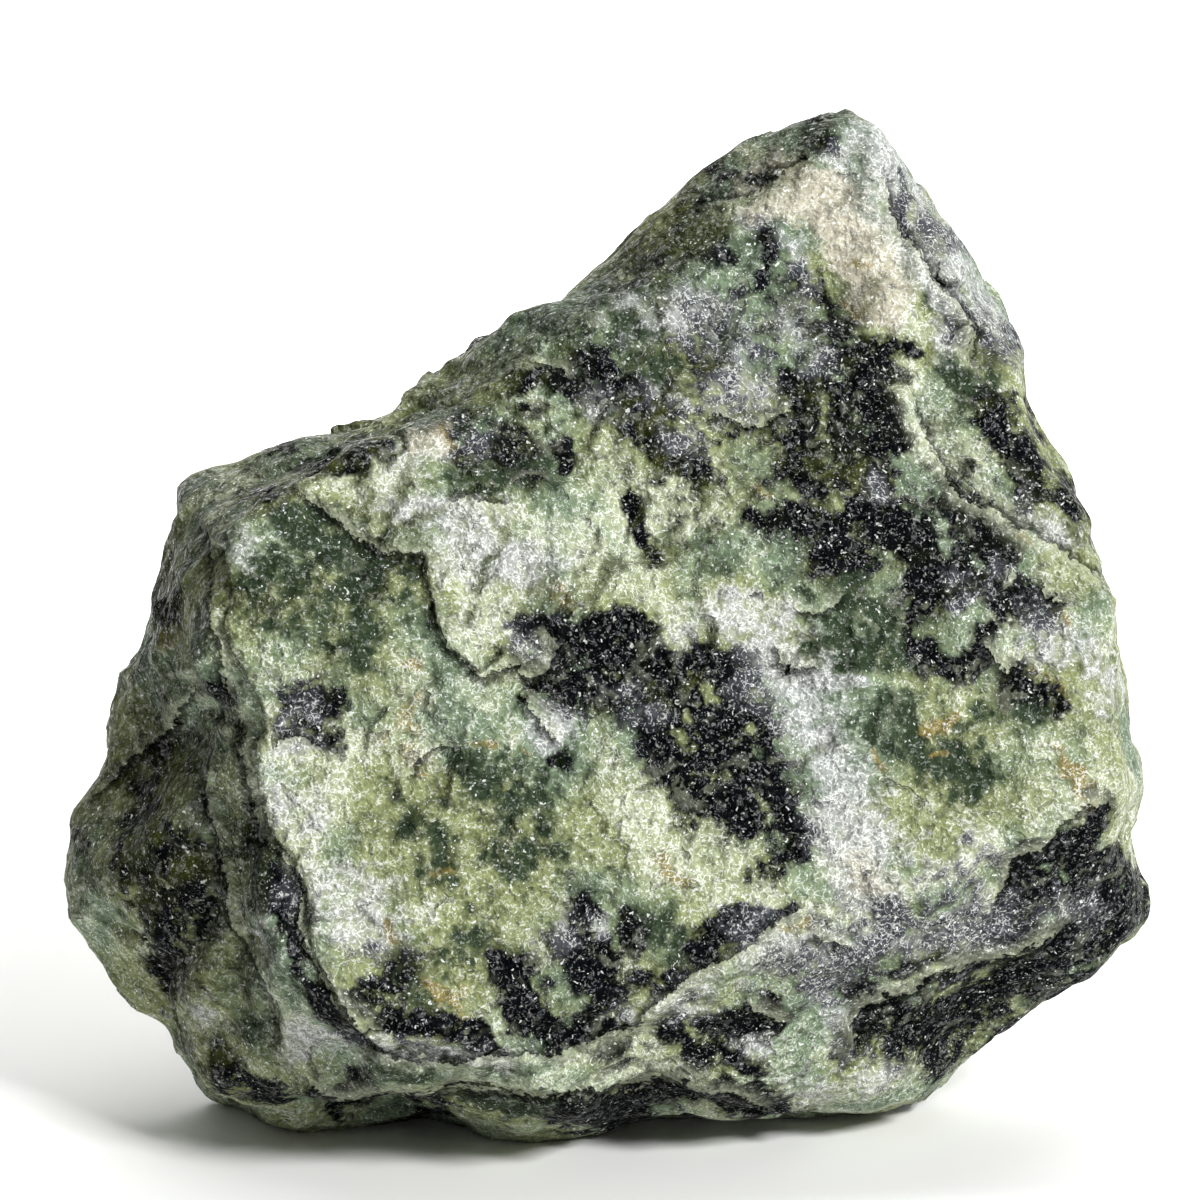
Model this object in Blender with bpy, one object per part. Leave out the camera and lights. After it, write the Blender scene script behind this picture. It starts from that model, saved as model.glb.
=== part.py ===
"""Raw jade boulder: one broken lump of green and black rock that stands on a flat patch of its underside.

Run it with blender --background --python part.py. It is in metres, with +Z up and the ground at z = 0.

The stone is one solid. Every point of its skin is a reach along a ray from the heart, a point inside it, so
the whole form is one formula: a bellied body with the outline as its rim, broken back to flat fracture faces,
scooped by round flake scars, stepped by ledges, and roughened by lumps and shell-shaped chips.

Lengths in this file are in millimetres, and are turned to metres where the mesh is made. Shapes are placed
in the sheet frame (right, up, near): the outline is drawn on a sheet through the heart that leans back from
upright by LEAN, and near is the way that the sheet faces. The sheet faces -Y.
"""

import math

import bmesh
import bpy
import numpy as np

MM = 0.001
LEAN = math.radians(12)
HEART_HEIGHT = 87.0  # from the ground to the heart

# How far the body bellies out of the sheet, before the fracture faces cut it back.
NEAR_BELLY = 74.0
FAR_BELLY = 66.0
BELLY_POWER = 3.2  # 2 is an ellipsoid, more is boxier
EDGE_POWER = 60.0  # higher makes the edges between fracture faces crisper
RIM_SPREAD = 9  # degrees on each side that the plainer line inside the outline takes in
RIM_DEPTH = 0.2  # how far out of the sheet a ray leans before it reaches that plainer line
FOOT_FULLNESS = 7.0  # how far the foot swells behind the outline

# Rays per edge of the cube that the sphere of rays is made from, and how they crowd towards the near side.
CELLS = 27
RAY_STRETCH = (1.0, 1.0, 0.72)
NEAR_CROWDING = 0.12
RELAX = 0.3  # share of the way that each corner moves towards the middle of its neighbours

# The rim, anticlockwise from the right-hand side, as (right, up) from the heart.
OUTLINE = (
    (92.5, 7.0), (92.0, 11.0), (89.0, 18.5), (85.5, 27.5), (80.0, 36.0), (76.0, 45.5), (76.0, 51.0),
    (70.0, 62.0), (63.5, 72.5), (60.0, 78.5), (55.0, 88.0), (48.0, 93.5), (41.5, 96.5), (34.5, 94.0),
    (27.0, 90.5), (18.5, 86.0), (11.5, 79.0), (5.5, 73.0), (0.0, 68.0), (-6.5, 61.0), (-11.0, 58.5),
    (-16.0, 57.0), (-20.0, 54.0), (-28.0, 51.5), (-30.5, 49.5), (-33.0, 45.5), (-38.0, 40.5),
    (-48.0, 37.5), (-53.0, 36.5), (-60.5, 34.5), (-66.5, 31.5), (-73.0, 30.0), (-75.5, 27.5),
    (-75.0, 22.0), (-76.5, 17.5), (-79.0, 6.0), (-82.5, -2.0), (-85.5, -5.0), (-85.5, -9.0),
    (-89.5, -21.0), (-91.0, -26.0), (-94.5, -30.5), (-95.5, -37.0), (-97.5, -44.0), (-94.0, -52.0),
    (-91.5, -58.0), (-86.0, -64.0), (-78.0, -70.0), (-75.0, -74.5), (-71.5, -78.5), (-63.0, -83.0),
    (-60.0, -86.0), (-48.0, -88.0), (-39.0, -87.5), (-30.5, -85.0), (-24.0, -87.5), (-18.5, -90.0),
    (-13.5, -90.5), (-4.5, -89.0), (6.0, -86.0), (10.5, -84.5), (18.0, -85.5), (30.0, -86.0),
    (38.5, -86.5), (48.0, -85.0), (58.5, -81.5), (64.0, -76.5), (77.5, -66.5), (88.0, -61.0),
    (95.0, -54.5), (98.0, -51.0), (99.0, -47.0), (96.5, -38.5), (95.0, -34.5), (97.5, -26.5),
    (95.0, -18.5), (94.5, -13.5), (94.5, -8.0), (91.5, 3.0),
)

# The flat faces that the stone broke along, each by three points of it as (right, up, near). Faces listed
# together meet in a hollow, so the stone keeps what either of them leaves.
FACES = {
    "lower_front": (((0.0, 0.0, 44.0), (60.0, 0.0, 36.8), (0.0, -60.0, 48.8)),),
    "upper_front": (((0.0, 5.0, 43.6), (60.0, 5.0, 36.4), (0.0, 80.0, 19.5)),),
    "shoulder_and_slope": (
        ((-71.0, 27.0, 44.0), (-23.0, 37.5, 36.0), (-54.0, 40.0, -4.0)),
        ((-23.0, 38.0, 36.0), (29.0, 81.0, 16.0), (10.0, 85.5, -4.0)),
    ),
    "left_side_and_foot": (
        ((-69.0, 25.0, 45.0), (-61.0, -25.0, 52.5), (-88.0, -6.0, -2.0)),
        ((-61.0, -25.0, 52.5), (-45.0, -62.0, 53.5), (-110.0, -45.0, 0.0)),
    ),
    "left_heel": (((-46.0, -62.0, 54.0), (-84.0, -79.0, 3.0), (-50.0, -95.0, 12.0)),),
    "front_sill": (((-44.0, -66.0, 54.0), (4.0, -73.0, 50.0), (-28.0, -90.0, 20.0)),),
    "right_sill": (((97.0, -27.0, 32.0), (16.0, -56.5, 46.5), (60.0, -84.0, 4.0)),),
    "peak_side": (((47.0, 92.5, 12.0), (62.0, 64.0, 20.0), (75.0, 75.0, -6.0)),),
    "back": (((0.0, 0.0, -56.0), (60.0, 6.0, -46.0), (-6.0, 60.0, -38.0)),),
    "back_left": (((-30.0, 0.0, -54.0), (-30.0, -60.0, -50.0), (-84.0, -10.0, -14.0)),),
    "back_top": (((0.0, 30.0, -50.0), (40.0, 30.0, -44.0), (42.0, 92.0, -8.0)),),
    "back_right": (((48.0, -10.0, -46.0), (52.0, -60.0, -36.0), (92.0, -20.0, -12.0)),),
}

# Round flake scars, each bitten by a ball that comes straight in towards the heart: the (right, up, near) of
# the scar's deepest point, and the ball's radius.
SCARS = {
    "arch_under_the_front": ((11.0, -80.0, 22.0), 30.0),
    "notch_under_the_left": ((-31.0, -82.5, 14.0), 26.0),
    "hollow_by_the_brow": ((76.0, 38.0, 20.0), 50.0),
    "hollow_by_the_peak": ((61.0, 75.0, 11.0), 44.0),
    "bite_in_the_shoulder": ((-30.0, 46.0, 14.0), 30.0),
    "dish_in_the_side": ((-76.0, -6.0, 26.0), 50.0),
    "dish_in_the_foot": ((-78.0, -54.0, 25.0), 55.0),
    "dish_in_the_right_sill": ((56.0, -66.0, 26.0), 60.0),
    "far_dish": ((-14.0, -16.0, -54.0), 80.0),
    "far_upper_dish": ((32.0, 50.0, -37.0), 75.0),
    "far_right_dish": ((66.0, -38.0, -38.0), 60.0),
    "far_left_dish": ((-62.0, 18.0, -32.0), 60.0),
}
SCAR_LIP = 2.0  # how softly a scar meets the face round it

# Steps where a layer of rock broke off. Each is a line on the near side as (right, up), how far the ground
# to the right of the line's travel drops, and how far the lower ground runs before it has risen again.
LEDGES = {
    "brow": (
        ((-71.0, 23.0), (-68.0, 17.5), (-66.5, 13.5), (-67.0, 9.5), (-66.5, 3.0), (-65.0, -4.5),
         (-61.0, -15.5), (-61.5, -20.0), (-59.5, -28.5), (-58.0, -33.5), (-53.0, -38.5), (-50.5, -43.0),
         (-51.0, -48.5), (-47.5, -55.5), (-45.0, -60.5), (-40.0, -66.0), (-35.0, -68.0)),
        4.2, 16.0,
    ),
    "second_step": (
        ((-66.0, -14.0), (-69.5, -25.0), (-66.5, -33.5), (-65.0, -42.0), (-64.0, -50.0), (-59.0, -57.0),
         (-56.0, -62.5), (-55.5, -73.0)),
        4.0, 11.0,
    ),
    "third_step": (
        ((-67.0, -42.0), (-70.0, -52.0), (-74.0, -58.5), (-75.0, -65.0), (-74.5, -76.0)),
        4.0, 8.0,
    ),
    "side_rib": (
        ((-97.0, -33.0), (-88.0, -26.0), (-80.0, -18.0), (-72.0, -11.0), (-67.0, -3.0)),
        4.0, 10.0,
    ),
    "front_flake": (
        ((-56.0, 29.0), (-45.0, 21.0), (-38.0, 15.0), (-31.0, 14.0), (-28.5, 6.0), (-26.5, -1.0),
         (-20.0, -5.5), (-8.0, -3.0)),
        1.8, 15.0,
    ),
    "sill_step": (
        ((30.0, -50.0), (16.0, -56.5), (7.0, -66.0), (-7.0, -71.0), (-24.0, -72.0), (-36.0, -71.0),
         (-46.0, -69.0)),
        2.6, 9.0,
    ),
    "foot_step": (
        ((-56.0, -74.0), (-46.0, -80.0), (-36.0, -79.0), (-14.0, -78.0), (-7.0, -79.5), (8.0, -76.5),
         (18.0, -74.0)),
        2.6, 9.0,
    ),
    "right_sill_step": (
        ((44.0, -74.0), (46.0, -64.0), (54.0, -62.5), (60.0, -58.5), (74.0, -55.0), (84.0, -48.0)),
        2.6, 11.0,
    ),
    "peak_lip": (
        ((41.0, 88.0), (34.0, 84.0), (30.0, 82.0), (26.0, 78.5), (20.0, 79.0), (14.0, 74.0)),
        3.0, 8.0,
    ),
    "peak_crevice": (
        ((66.0, 46.0), (65.5, 54.0), (63.0, 59.5), (58.5, 66.0), (54.0, 72.0), (51.5, 77.0), (50.0, 86.0)),
        2.8, 8.0,
    ),
    "right_brow": (
        ((92.0, 8.0), (80.0, 17.0), (72.0, 20.0), (65.0, 24.0), (59.0, 31.0), (53.0, 45.0)),
        3.0, 11.0,
    ),
}
LEDGE_FACE = 4.5  # how wide a ledge's own face is
LEDGE_JAG = 1.6  # how far a ledge strays from its line
LEDGE_FADE = 7.0  # how far from its ends a ledge dies out

# Roughness of the skin: (size, height) of the lumps and of the shell-shaped chips.
LUMPS = ((46.0, 3.4), (19.0, 1.8))
CHIPS = ((27.0, 4.0), (12.0, 1.9))
CHIP_MIDDLE = 0.33  # the height of a chip's bowl, as a share, that lies level with the skin
CALM_FRONT = 0.4  # the near face is smoother than the sides, by this share
RIM_KEEP = 0.35  # share of the roughness that is left at the rim, so that the outline stays as drawn

STONE_COLOUR = (0.19, 0.25, 0.13, 1.0)


def unit(vectors):
    """Vectors scaled to length 1."""
    return vectors / np.linalg.norm(vectors, axis=-1, keepdims=True)


def smooth_step(low, high, value):
    """0 below low, 1 above high, and a smooth rise between them."""
    t = np.clip((value - low) / (high - low), 0.0, 1.0)
    return t * t * (3.0 - 2.0 * t)


def hashed(cells, table):
    """A number from 0 to 255 for each whole-numbered cell, by three turns through a shuffled table."""
    index = table[cells[:, 0] & 255]
    index = table[(index + cells[:, 1]) & 255]
    return table[(index + cells[:, 2]) & 255]


def lump_noise(points, size, seed):
    """Gradient noise, about -1 to 1, with lumps of that size. Each lattice corner has a random slope, and
    the slopes are faded into each other."""
    random = np.random.default_rng(seed)
    table = random.permutation(256)
    slopes = unit(random.normal(size=(256, 3)))
    scaled = points / size
    corner = np.floor(scaled).astype(int)
    inside = scaled - corner
    fade = inside**3 * (inside * (inside * 6.0 - 15.0) + 10.0)
    total = np.zeros(len(points))
    for step in np.ndindex(2, 2, 2):
        step = np.array(step)
        share = np.prod(np.where(step == 1, fade, 1.0 - fade), axis=1)
        slope = slopes[hashed(corner + step, table)]
        total += share * np.sum(slope * (inside - step), axis=1)
    return total * 1.6


def chip_noise(points, size, seed):
    """Shell-shaped chips of that size, 0 at the bottom of each bowl and about 1 on the crisp ridges between
    them: the squared distance to the nearest of a jittered lattice of points."""
    random = np.random.default_rng(seed)
    table = random.permutation(256)
    jitter = random.uniform(0.1, 0.9, size=(256, 3))
    scaled = points / size
    corner = np.floor(scaled).astype(int)
    nearest = np.full(len(points), 9.0)
    for step in np.ndindex(3, 3, 3):
        cell = corner + np.array(step) - 1
        centre = cell + jitter[hashed(cell, table)]
        nearest = np.minimum(nearest, np.sum((scaled - centre) ** 2, axis=1))
    return nearest


def face_gauge(rays, points):
    """How many times over a ray of length 1 mm spans the way to the plane through three points."""
    first, second, third = (np.array(p) for p in points)
    normal = np.cross(second - first, third - first)
    offset = normal @ first
    return np.maximum(rays @ normal / offset, 0.0)


def belly_gauge(rays):
    """The same for the bellied body: a power sum of the way to the rim and the way to the belly's depth.
    Away from the sheet the rim sinks to a plainer line that runs inside the outline, but behind the foot it
    swells, so that the ground cuts a broad patch off it."""
    rim = np.array(OUTLINE)
    turns = np.arctan2(rim[:, 1], rim[:, 0])
    reaches = np.hypot(rim[:, 0], rim[:, 1])
    table = np.radians(np.arange(-180.0, 180.0))
    fine = np.interp(table, turns, reaches, period=2.0 * math.pi)
    near_by = np.arange(-RIM_SPREAD, RIM_SPREAD + 1)
    inner = np.min([np.roll(fine, step) for step in near_by], axis=0)
    inner = np.mean([np.roll(inner, step) for step in near_by], axis=0)
    turn = np.arctan2(rays[:, 1], rays[:, 0])
    rim_reach = np.interp(turn, table, inner, period=2.0 * math.pi)
    at_rim = np.exp(-((rays[:, 2] / RIM_DEPTH) ** 2))
    rim_reach += at_rim * (np.interp(turn, turns, reaches, period=2.0 * math.pi) - rim_reach)
    rim_reach += FOOT_FULLNESS * smooth_step(0.6, 0.85, -rays[:, 1]) * smooth_step(0.0, 0.2, -rays[:, 2])
    across = np.hypot(rays[:, 0], rays[:, 1]) / rim_reach
    depth = np.where(rays[:, 2] > 0.0, rays[:, 2] / NEAR_BELLY, -rays[:, 2] / FAR_BELLY)
    return (across**BELLY_POWER + depth**BELLY_POWER) ** (1.0 / BELLY_POWER)


def scarred(rays, reach):
    """The reach cut back to each scar's ball, where the ray meets the ball first."""
    for deepest, radius in SCARS.values():
        deepest = np.array(deepest)
        centre = deepest + radius * unit(deepest)
        along = rays @ centre
        inside = along**2 - centre @ centre + radius**2
        entry = np.where(inside > 0.0, along - np.sqrt(np.maximum(inside, 0.0)), reach + 9.0)
        entry = np.where(entry > 0.0, entry, reach + 9.0)
        blend = np.maximum(SCAR_LIP - np.abs(reach - entry), 0.0)
        reach = np.minimum(reach, entry) - blend**2 / (4.0 * SCAR_LIP)
    return reach


def ledge_drop(points, line, drop, run):
    """How far the ground drops beside a ledge: all of the drop just right of the line, none to its left,
    and less with distance from it and towards the line's ends."""
    line = np.array(line)
    place = points[:, :2]
    best = np.full(len(points), 1e9)
    side = np.zeros(len(points))
    travelled = np.zeros(len(points))
    start = 0.0
    for a, b in zip(line[:-1], line[1:]):
        way = b - a
        length = math.hypot(*way)
        share = np.clip((place - a) @ way / length**2, 0.0, 1.0)
        apart = place - a - share[:, None] * way
        distance = np.hypot(apart[:, 0], apart[:, 1])
        turn = (way[1] * (place[:, 0] - a[0]) - way[0] * (place[:, 1] - a[1])) / length
        level = np.abs(distance - best) < 1e-6
        closer = (distance < best - 1e-6) | (level & (np.abs(turn) > np.abs(side)))
        best = np.where(closer, distance, best)
        side = np.where(closer, turn, side)
        travelled = np.where(closer, start + share * length, travelled)
        start += length
    signed = best * np.sign(side) + LEDGE_JAG * lump_noise(points, 8.0, 51)
    fade = smooth_step(0.0, LEDGE_FADE, travelled) * smooth_step(0.0, LEDGE_FADE, start - travelled)
    step = smooth_step(-LEDGE_FACE / 2.0, LEDGE_FACE / 2.0, signed)
    return drop * step * np.exp(-np.maximum(signed, 0.0) / run) * fade


def stone_reach(rays):
    """How far the skin is from the heart along each ray, in millimetres."""
    gauges = [belly_gauge(rays)]
    for hollow in FACES.values():
        gauges.append(np.min([face_gauge(rays, points) for points in hollow], axis=0))
    reach = np.sum(np.array(gauges) ** EDGE_POWER, axis=0) ** (-1.0 / EDGE_POWER)
    reach = scarred(rays, reach)
    near = smooth_step(0.0, 12.0, rays[:, 2] * reach)
    for line, drop, run in LEDGES.values():
        reach = reach - near * ledge_drop(rays * reach[:, None], line, drop, run)
    points = rays * reach[:, None]
    rough = RIM_KEEP + (1.0 - RIM_KEEP) * smooth_step(0.0, 22.0, np.abs(points[:, 2]))
    rough *= 1.0 - CALM_FRONT * smooth_step(0.35, 0.75, rays[:, 2])
    bent = points + 5.0 * np.stack([lump_noise(points, 21.0, s) for s in (11, 12, 13)], axis=1)
    for number, (size, height) in enumerate(LUMPS):
        reach = reach + rough * height * lump_noise(points, size, 21 + number)
    for number, (size, height) in enumerate(CHIPS):
        reach = reach + rough * height * (chip_noise(bent, size, 31 + number) - CHIP_MIDDLE)
    return reach


def to_upright(points):
    """Points of the sheet frame, from the heart, in the upright frame that stands on the ground."""
    right, up, near = points.T
    y = up * math.sin(LEAN) - near * math.cos(LEAN)
    z = up * math.cos(LEAN) + near * math.sin(LEAN) + HEART_HEIGHT
    return np.stack([right, y, z], axis=1)


def relaxed(mesh, points):
    """The points, each moved a share of the way to the middle of its neighbours, so none sticks out alone."""
    ends = np.empty(len(mesh.edges) * 2, dtype=int)
    mesh.edges.foreach_get("vertices", ends)
    near_end, far_end = ends.reshape(-1, 2).T
    here = np.concatenate([near_end, far_end])
    there = np.concatenate([far_end, near_end])
    count = np.bincount(here, minlength=len(points))
    sums = np.stack([np.bincount(here, points[there, axis], len(points)) for axis in range(3)], axis=1)
    return points + RELAX * (sums / count[:, None] - points)


def ray_sphere(mesh):
    """The corners of an evenly divided cube, as rays of length 1 that crowd a little to the near side."""
    corners = np.empty(len(mesh.vertices) * 3)
    mesh.vertices.foreach_get("co", corners)
    even = unit(np.tan(corners.reshape(-1, 3) * math.pi / 4.0))
    return unit(even * RAY_STRETCH + (0.0, 0.0, NEAR_CROWDING))


def divided_cube(name, cells):
    """A cube from -1 to 1 with each side divided into cells by cells squares."""
    shape = bmesh.new()
    bmesh.ops.create_cube(shape, size=2.0)
    bmesh.ops.subdivide_edges(shape, edges=shape.edges[:], cuts=cells - 1, use_grid_fill=True)
    mesh = bpy.data.meshes.new(name)
    shape.to_mesh(mesh)
    shape.free()
    return mesh


def stone_material():
    """Rough green rock."""
    material = bpy.data.materials.new("jade_rock")
    material.use_nodes = True
    surface = material.node_tree.nodes["Principled BSDF"]
    surface.inputs["Base Color"].default_value = STONE_COLOUR
    surface.inputs["Roughness"].default_value = 0.55
    surface.inputs["Metallic"].default_value = 0.0
    return material


def make_stone(collection):
    """The stone, as a divided cube whose corners are moved out along their rays."""
    mesh = divided_cube("stone", CELLS)
    rays = ray_sphere(mesh)
    points = relaxed(mesh, to_upright(rays * stone_reach(rays)[:, None]))
    # The underside is cut off level at the ground, which leaves the flat patch that the stone stands on.
    points[:, 2] = np.maximum(points[:, 2], 0.0)
    mesh.vertices.foreach_set("co", (points * MM).ravel())
    mesh.update()
    mesh.shade_smooth()
    mesh.set_sharp_from_angle(angle=math.radians(35))
    mesh.materials.append(stone_material())
    stone = bpy.data.objects.new("stone", mesh)
    collection.objects.link(stone)
    return stone


def main():
    for old in list(bpy.data.objects):
        bpy.data.objects.remove(old)
    collection = bpy.data.collections.new("raw_jade_boulder")
    bpy.context.scene.collection.children.link(collection)
    make_stone(collection)


main()
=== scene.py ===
"""Raw jade boulder: the looks of its one stone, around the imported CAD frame.

The stone's skin is worked out anew on a fine grid, by the same formula as the CAD solid: every point is
a reach along a ray from the heart, a point inside the stone. Finer chips, lumps and facets are added to it.
Lengths on the stone are in millimetres, in the sheet frame (right, up, near): a sheet through the heart that
leans back by LEAN and faces -Y. They are turned to metres where the mesh and its material are made.

The colours are patches of mineral. Each is a stroke on the sheet, a line with a half width, and fades into
the rest by a noise that follows the crystals. The sides that the sheet doesn't show get patches from a noise.
"""

import math

import bmesh
import bpy
import numpy as np
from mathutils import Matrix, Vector


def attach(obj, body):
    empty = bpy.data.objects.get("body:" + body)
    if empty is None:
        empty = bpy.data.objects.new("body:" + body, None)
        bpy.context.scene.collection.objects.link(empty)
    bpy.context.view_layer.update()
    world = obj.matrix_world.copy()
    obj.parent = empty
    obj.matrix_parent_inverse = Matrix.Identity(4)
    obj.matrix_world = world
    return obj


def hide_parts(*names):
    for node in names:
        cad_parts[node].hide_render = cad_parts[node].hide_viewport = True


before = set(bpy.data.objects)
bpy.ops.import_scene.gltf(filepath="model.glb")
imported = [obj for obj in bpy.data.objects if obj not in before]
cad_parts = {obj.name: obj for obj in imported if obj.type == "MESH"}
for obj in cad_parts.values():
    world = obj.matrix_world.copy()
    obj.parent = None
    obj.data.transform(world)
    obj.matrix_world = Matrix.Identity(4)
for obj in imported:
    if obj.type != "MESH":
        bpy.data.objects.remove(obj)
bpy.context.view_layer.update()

MM = 0.001
LEAN = math.radians(12)
HEART_HEIGHT = 87.0  # from the ground to the heart

# How far the body bellies out of the sheet, before the fracture faces cut it back.
NEAR_BELLY = 74.0
FAR_BELLY = 66.0
BELLY_POWER = 3.2  # 2 is an ellipsoid, more is boxier
EDGE_POWER = 60.0  # higher makes the edges between fracture faces crisper
RIM_SPREAD = 9  # degrees on each side that the plainer line inside the outline takes in
RIM_DEPTH = 0.2  # how far out of the sheet a ray leans before it reaches that plainer line
FOOT_FULLNESS = 7.0  # how far the foot swells behind the outline

# Rays per edge of the cube that the sphere of rays is made from, and how they crowd towards the near side.
CELLS = 129
RAY_STRETCH = (1.0, 1.0, 0.72)
NEAR_CROWDING = 0.25
RELAX = 0.3  # share of the way that each corner moves towards the middle of its neighbours

# The rim, anticlockwise from the right-hand side, as (right, up) from the heart.
OUTLINE = (
    (92.5, 7.0), (92.0, 11.0), (89.0, 18.5), (85.5, 27.5), (80.0, 36.0), (76.0, 45.5), (76.0, 51.0),
    (70.0, 62.0), (63.5, 72.5), (60.0, 78.5), (55.0, 88.0), (48.0, 93.5), (41.5, 96.5), (34.5, 94.0),
    (27.0, 90.5), (18.5, 86.0), (11.5, 79.0), (5.5, 73.0), (0.0, 68.0), (-6.5, 61.0), (-11.0, 58.5),
    (-16.0, 57.0), (-20.0, 54.0), (-28.0, 51.5), (-30.5, 49.5), (-33.0, 45.5), (-38.0, 40.5),
    (-48.0, 37.5), (-53.0, 36.5), (-60.5, 34.5), (-66.5, 31.5), (-73.0, 30.0), (-75.5, 27.5),
    (-75.0, 22.0), (-76.5, 17.5), (-79.0, 6.0), (-82.5, -2.0), (-85.5, -5.0), (-85.5, -9.0),
    (-89.5, -21.0), (-91.0, -26.0), (-94.5, -30.5), (-95.5, -37.0), (-97.5, -44.0), (-94.0, -52.0),
    (-91.5, -58.0), (-86.0, -64.0), (-78.0, -70.0), (-75.0, -74.5), (-71.5, -78.5), (-63.0, -83.0),
    (-60.0, -86.0), (-48.0, -88.0), (-39.0, -87.5), (-30.5, -85.0), (-24.0, -87.5), (-18.5, -90.0),
    (-13.5, -90.5), (-4.5, -89.0), (6.0, -86.0), (10.5, -84.5), (18.0, -85.5), (30.0, -86.0),
    (38.5, -86.5), (48.0, -85.0), (58.5, -81.5), (64.0, -76.5), (77.5, -66.5), (88.0, -61.0),
    (95.0, -54.5), (98.0, -51.0), (99.0, -47.0), (96.5, -38.5), (95.0, -34.5), (97.5, -26.5),
    (95.0, -18.5), (94.5, -13.5), (94.5, -8.0), (91.5, 3.0),
)

# The flat faces that the stone broke along, each by three points of it as (right, up, near). Faces listed
# together meet in a hollow, so the stone keeps what either of them leaves.
FACES = {
    "lower_front": (((0.0, 0.0, 44.0), (60.0, 0.0, 36.8), (0.0, -60.0, 48.8)),),
    "upper_front": (((0.0, 5.0, 43.6), (60.0, 5.0, 36.4), (0.0, 80.0, 19.5)),),
    "shoulder_and_slope": (
        ((-71.0, 27.0, 44.0), (-23.0, 37.5, 36.0), (-54.0, 40.0, -4.0)),
        ((-23.0, 38.0, 36.0), (29.0, 81.0, 16.0), (10.0, 85.5, -4.0)),
    ),
    "left_side_and_foot": (
        ((-69.0, 25.0, 45.0), (-61.0, -25.0, 52.5), (-88.0, -6.0, -2.0)),
        ((-61.0, -25.0, 52.5), (-45.0, -62.0, 53.5), (-110.0, -45.0, 0.0)),
    ),
    "left_heel": (((-46.0, -62.0, 54.0), (-84.0, -79.0, 3.0), (-50.0, -95.0, 12.0)),),
    "front_sill": (((-44.0, -66.0, 54.0), (4.0, -73.0, 50.0), (-28.0, -90.0, 20.0)),),
    "right_sill": (((97.0, -27.0, 32.0), (16.0, -56.5, 46.5), (60.0, -84.0, 4.0)),),
    "peak_side": (((47.0, 92.5, 12.0), (62.0, 64.0, 20.0), (75.0, 75.0, -6.0)),),
    "back": (((0.0, 0.0, -56.0), (60.0, 6.0, -46.0), (-6.0, 60.0, -38.0)),),
    "back_left": (((-30.0, 0.0, -54.0), (-30.0, -60.0, -50.0), (-84.0, -10.0, -14.0)),),
    "back_top": (((0.0, 30.0, -50.0), (40.0, 30.0, -44.0), (42.0, 92.0, -8.0)),),
    "back_right": (((48.0, -10.0, -46.0), (52.0, -60.0, -36.0), (92.0, -20.0, -12.0)),),
}

# Round flake scars, each bitten by a ball that comes straight in towards the heart: the (right, up, near) of
# the scar's deepest point, and the ball's radius.
SCARS = {
    "arch_under_the_front": ((11.0, -80.0, 22.0), 30.0),
    "notch_under_the_left": ((-31.0, -82.5, 14.0), 26.0),
    "hollow_by_the_brow": ((76.0, 38.0, 20.0), 50.0),
    "hollow_by_the_peak": ((61.0, 75.0, 11.0), 44.0),
    "bite_in_the_shoulder": ((-30.0, 46.0, 14.0), 30.0),
    "dish_in_the_side": ((-76.0, -6.0, 26.0), 50.0),
    "dish_in_the_foot": ((-78.0, -54.0, 25.0), 55.0),
    "dish_in_the_right_sill": ((56.0, -66.0, 26.0), 60.0),
    "far_dish": ((-14.0, -16.0, -54.0), 80.0),
    "far_upper_dish": ((32.0, 50.0, -37.0), 75.0),
    "far_right_dish": ((66.0, -38.0, -38.0), 60.0),
    "far_left_dish": ((-62.0, 18.0, -32.0), 60.0),
}
SCAR_LIP = 2.0  # how softly a scar meets the face round it

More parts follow.
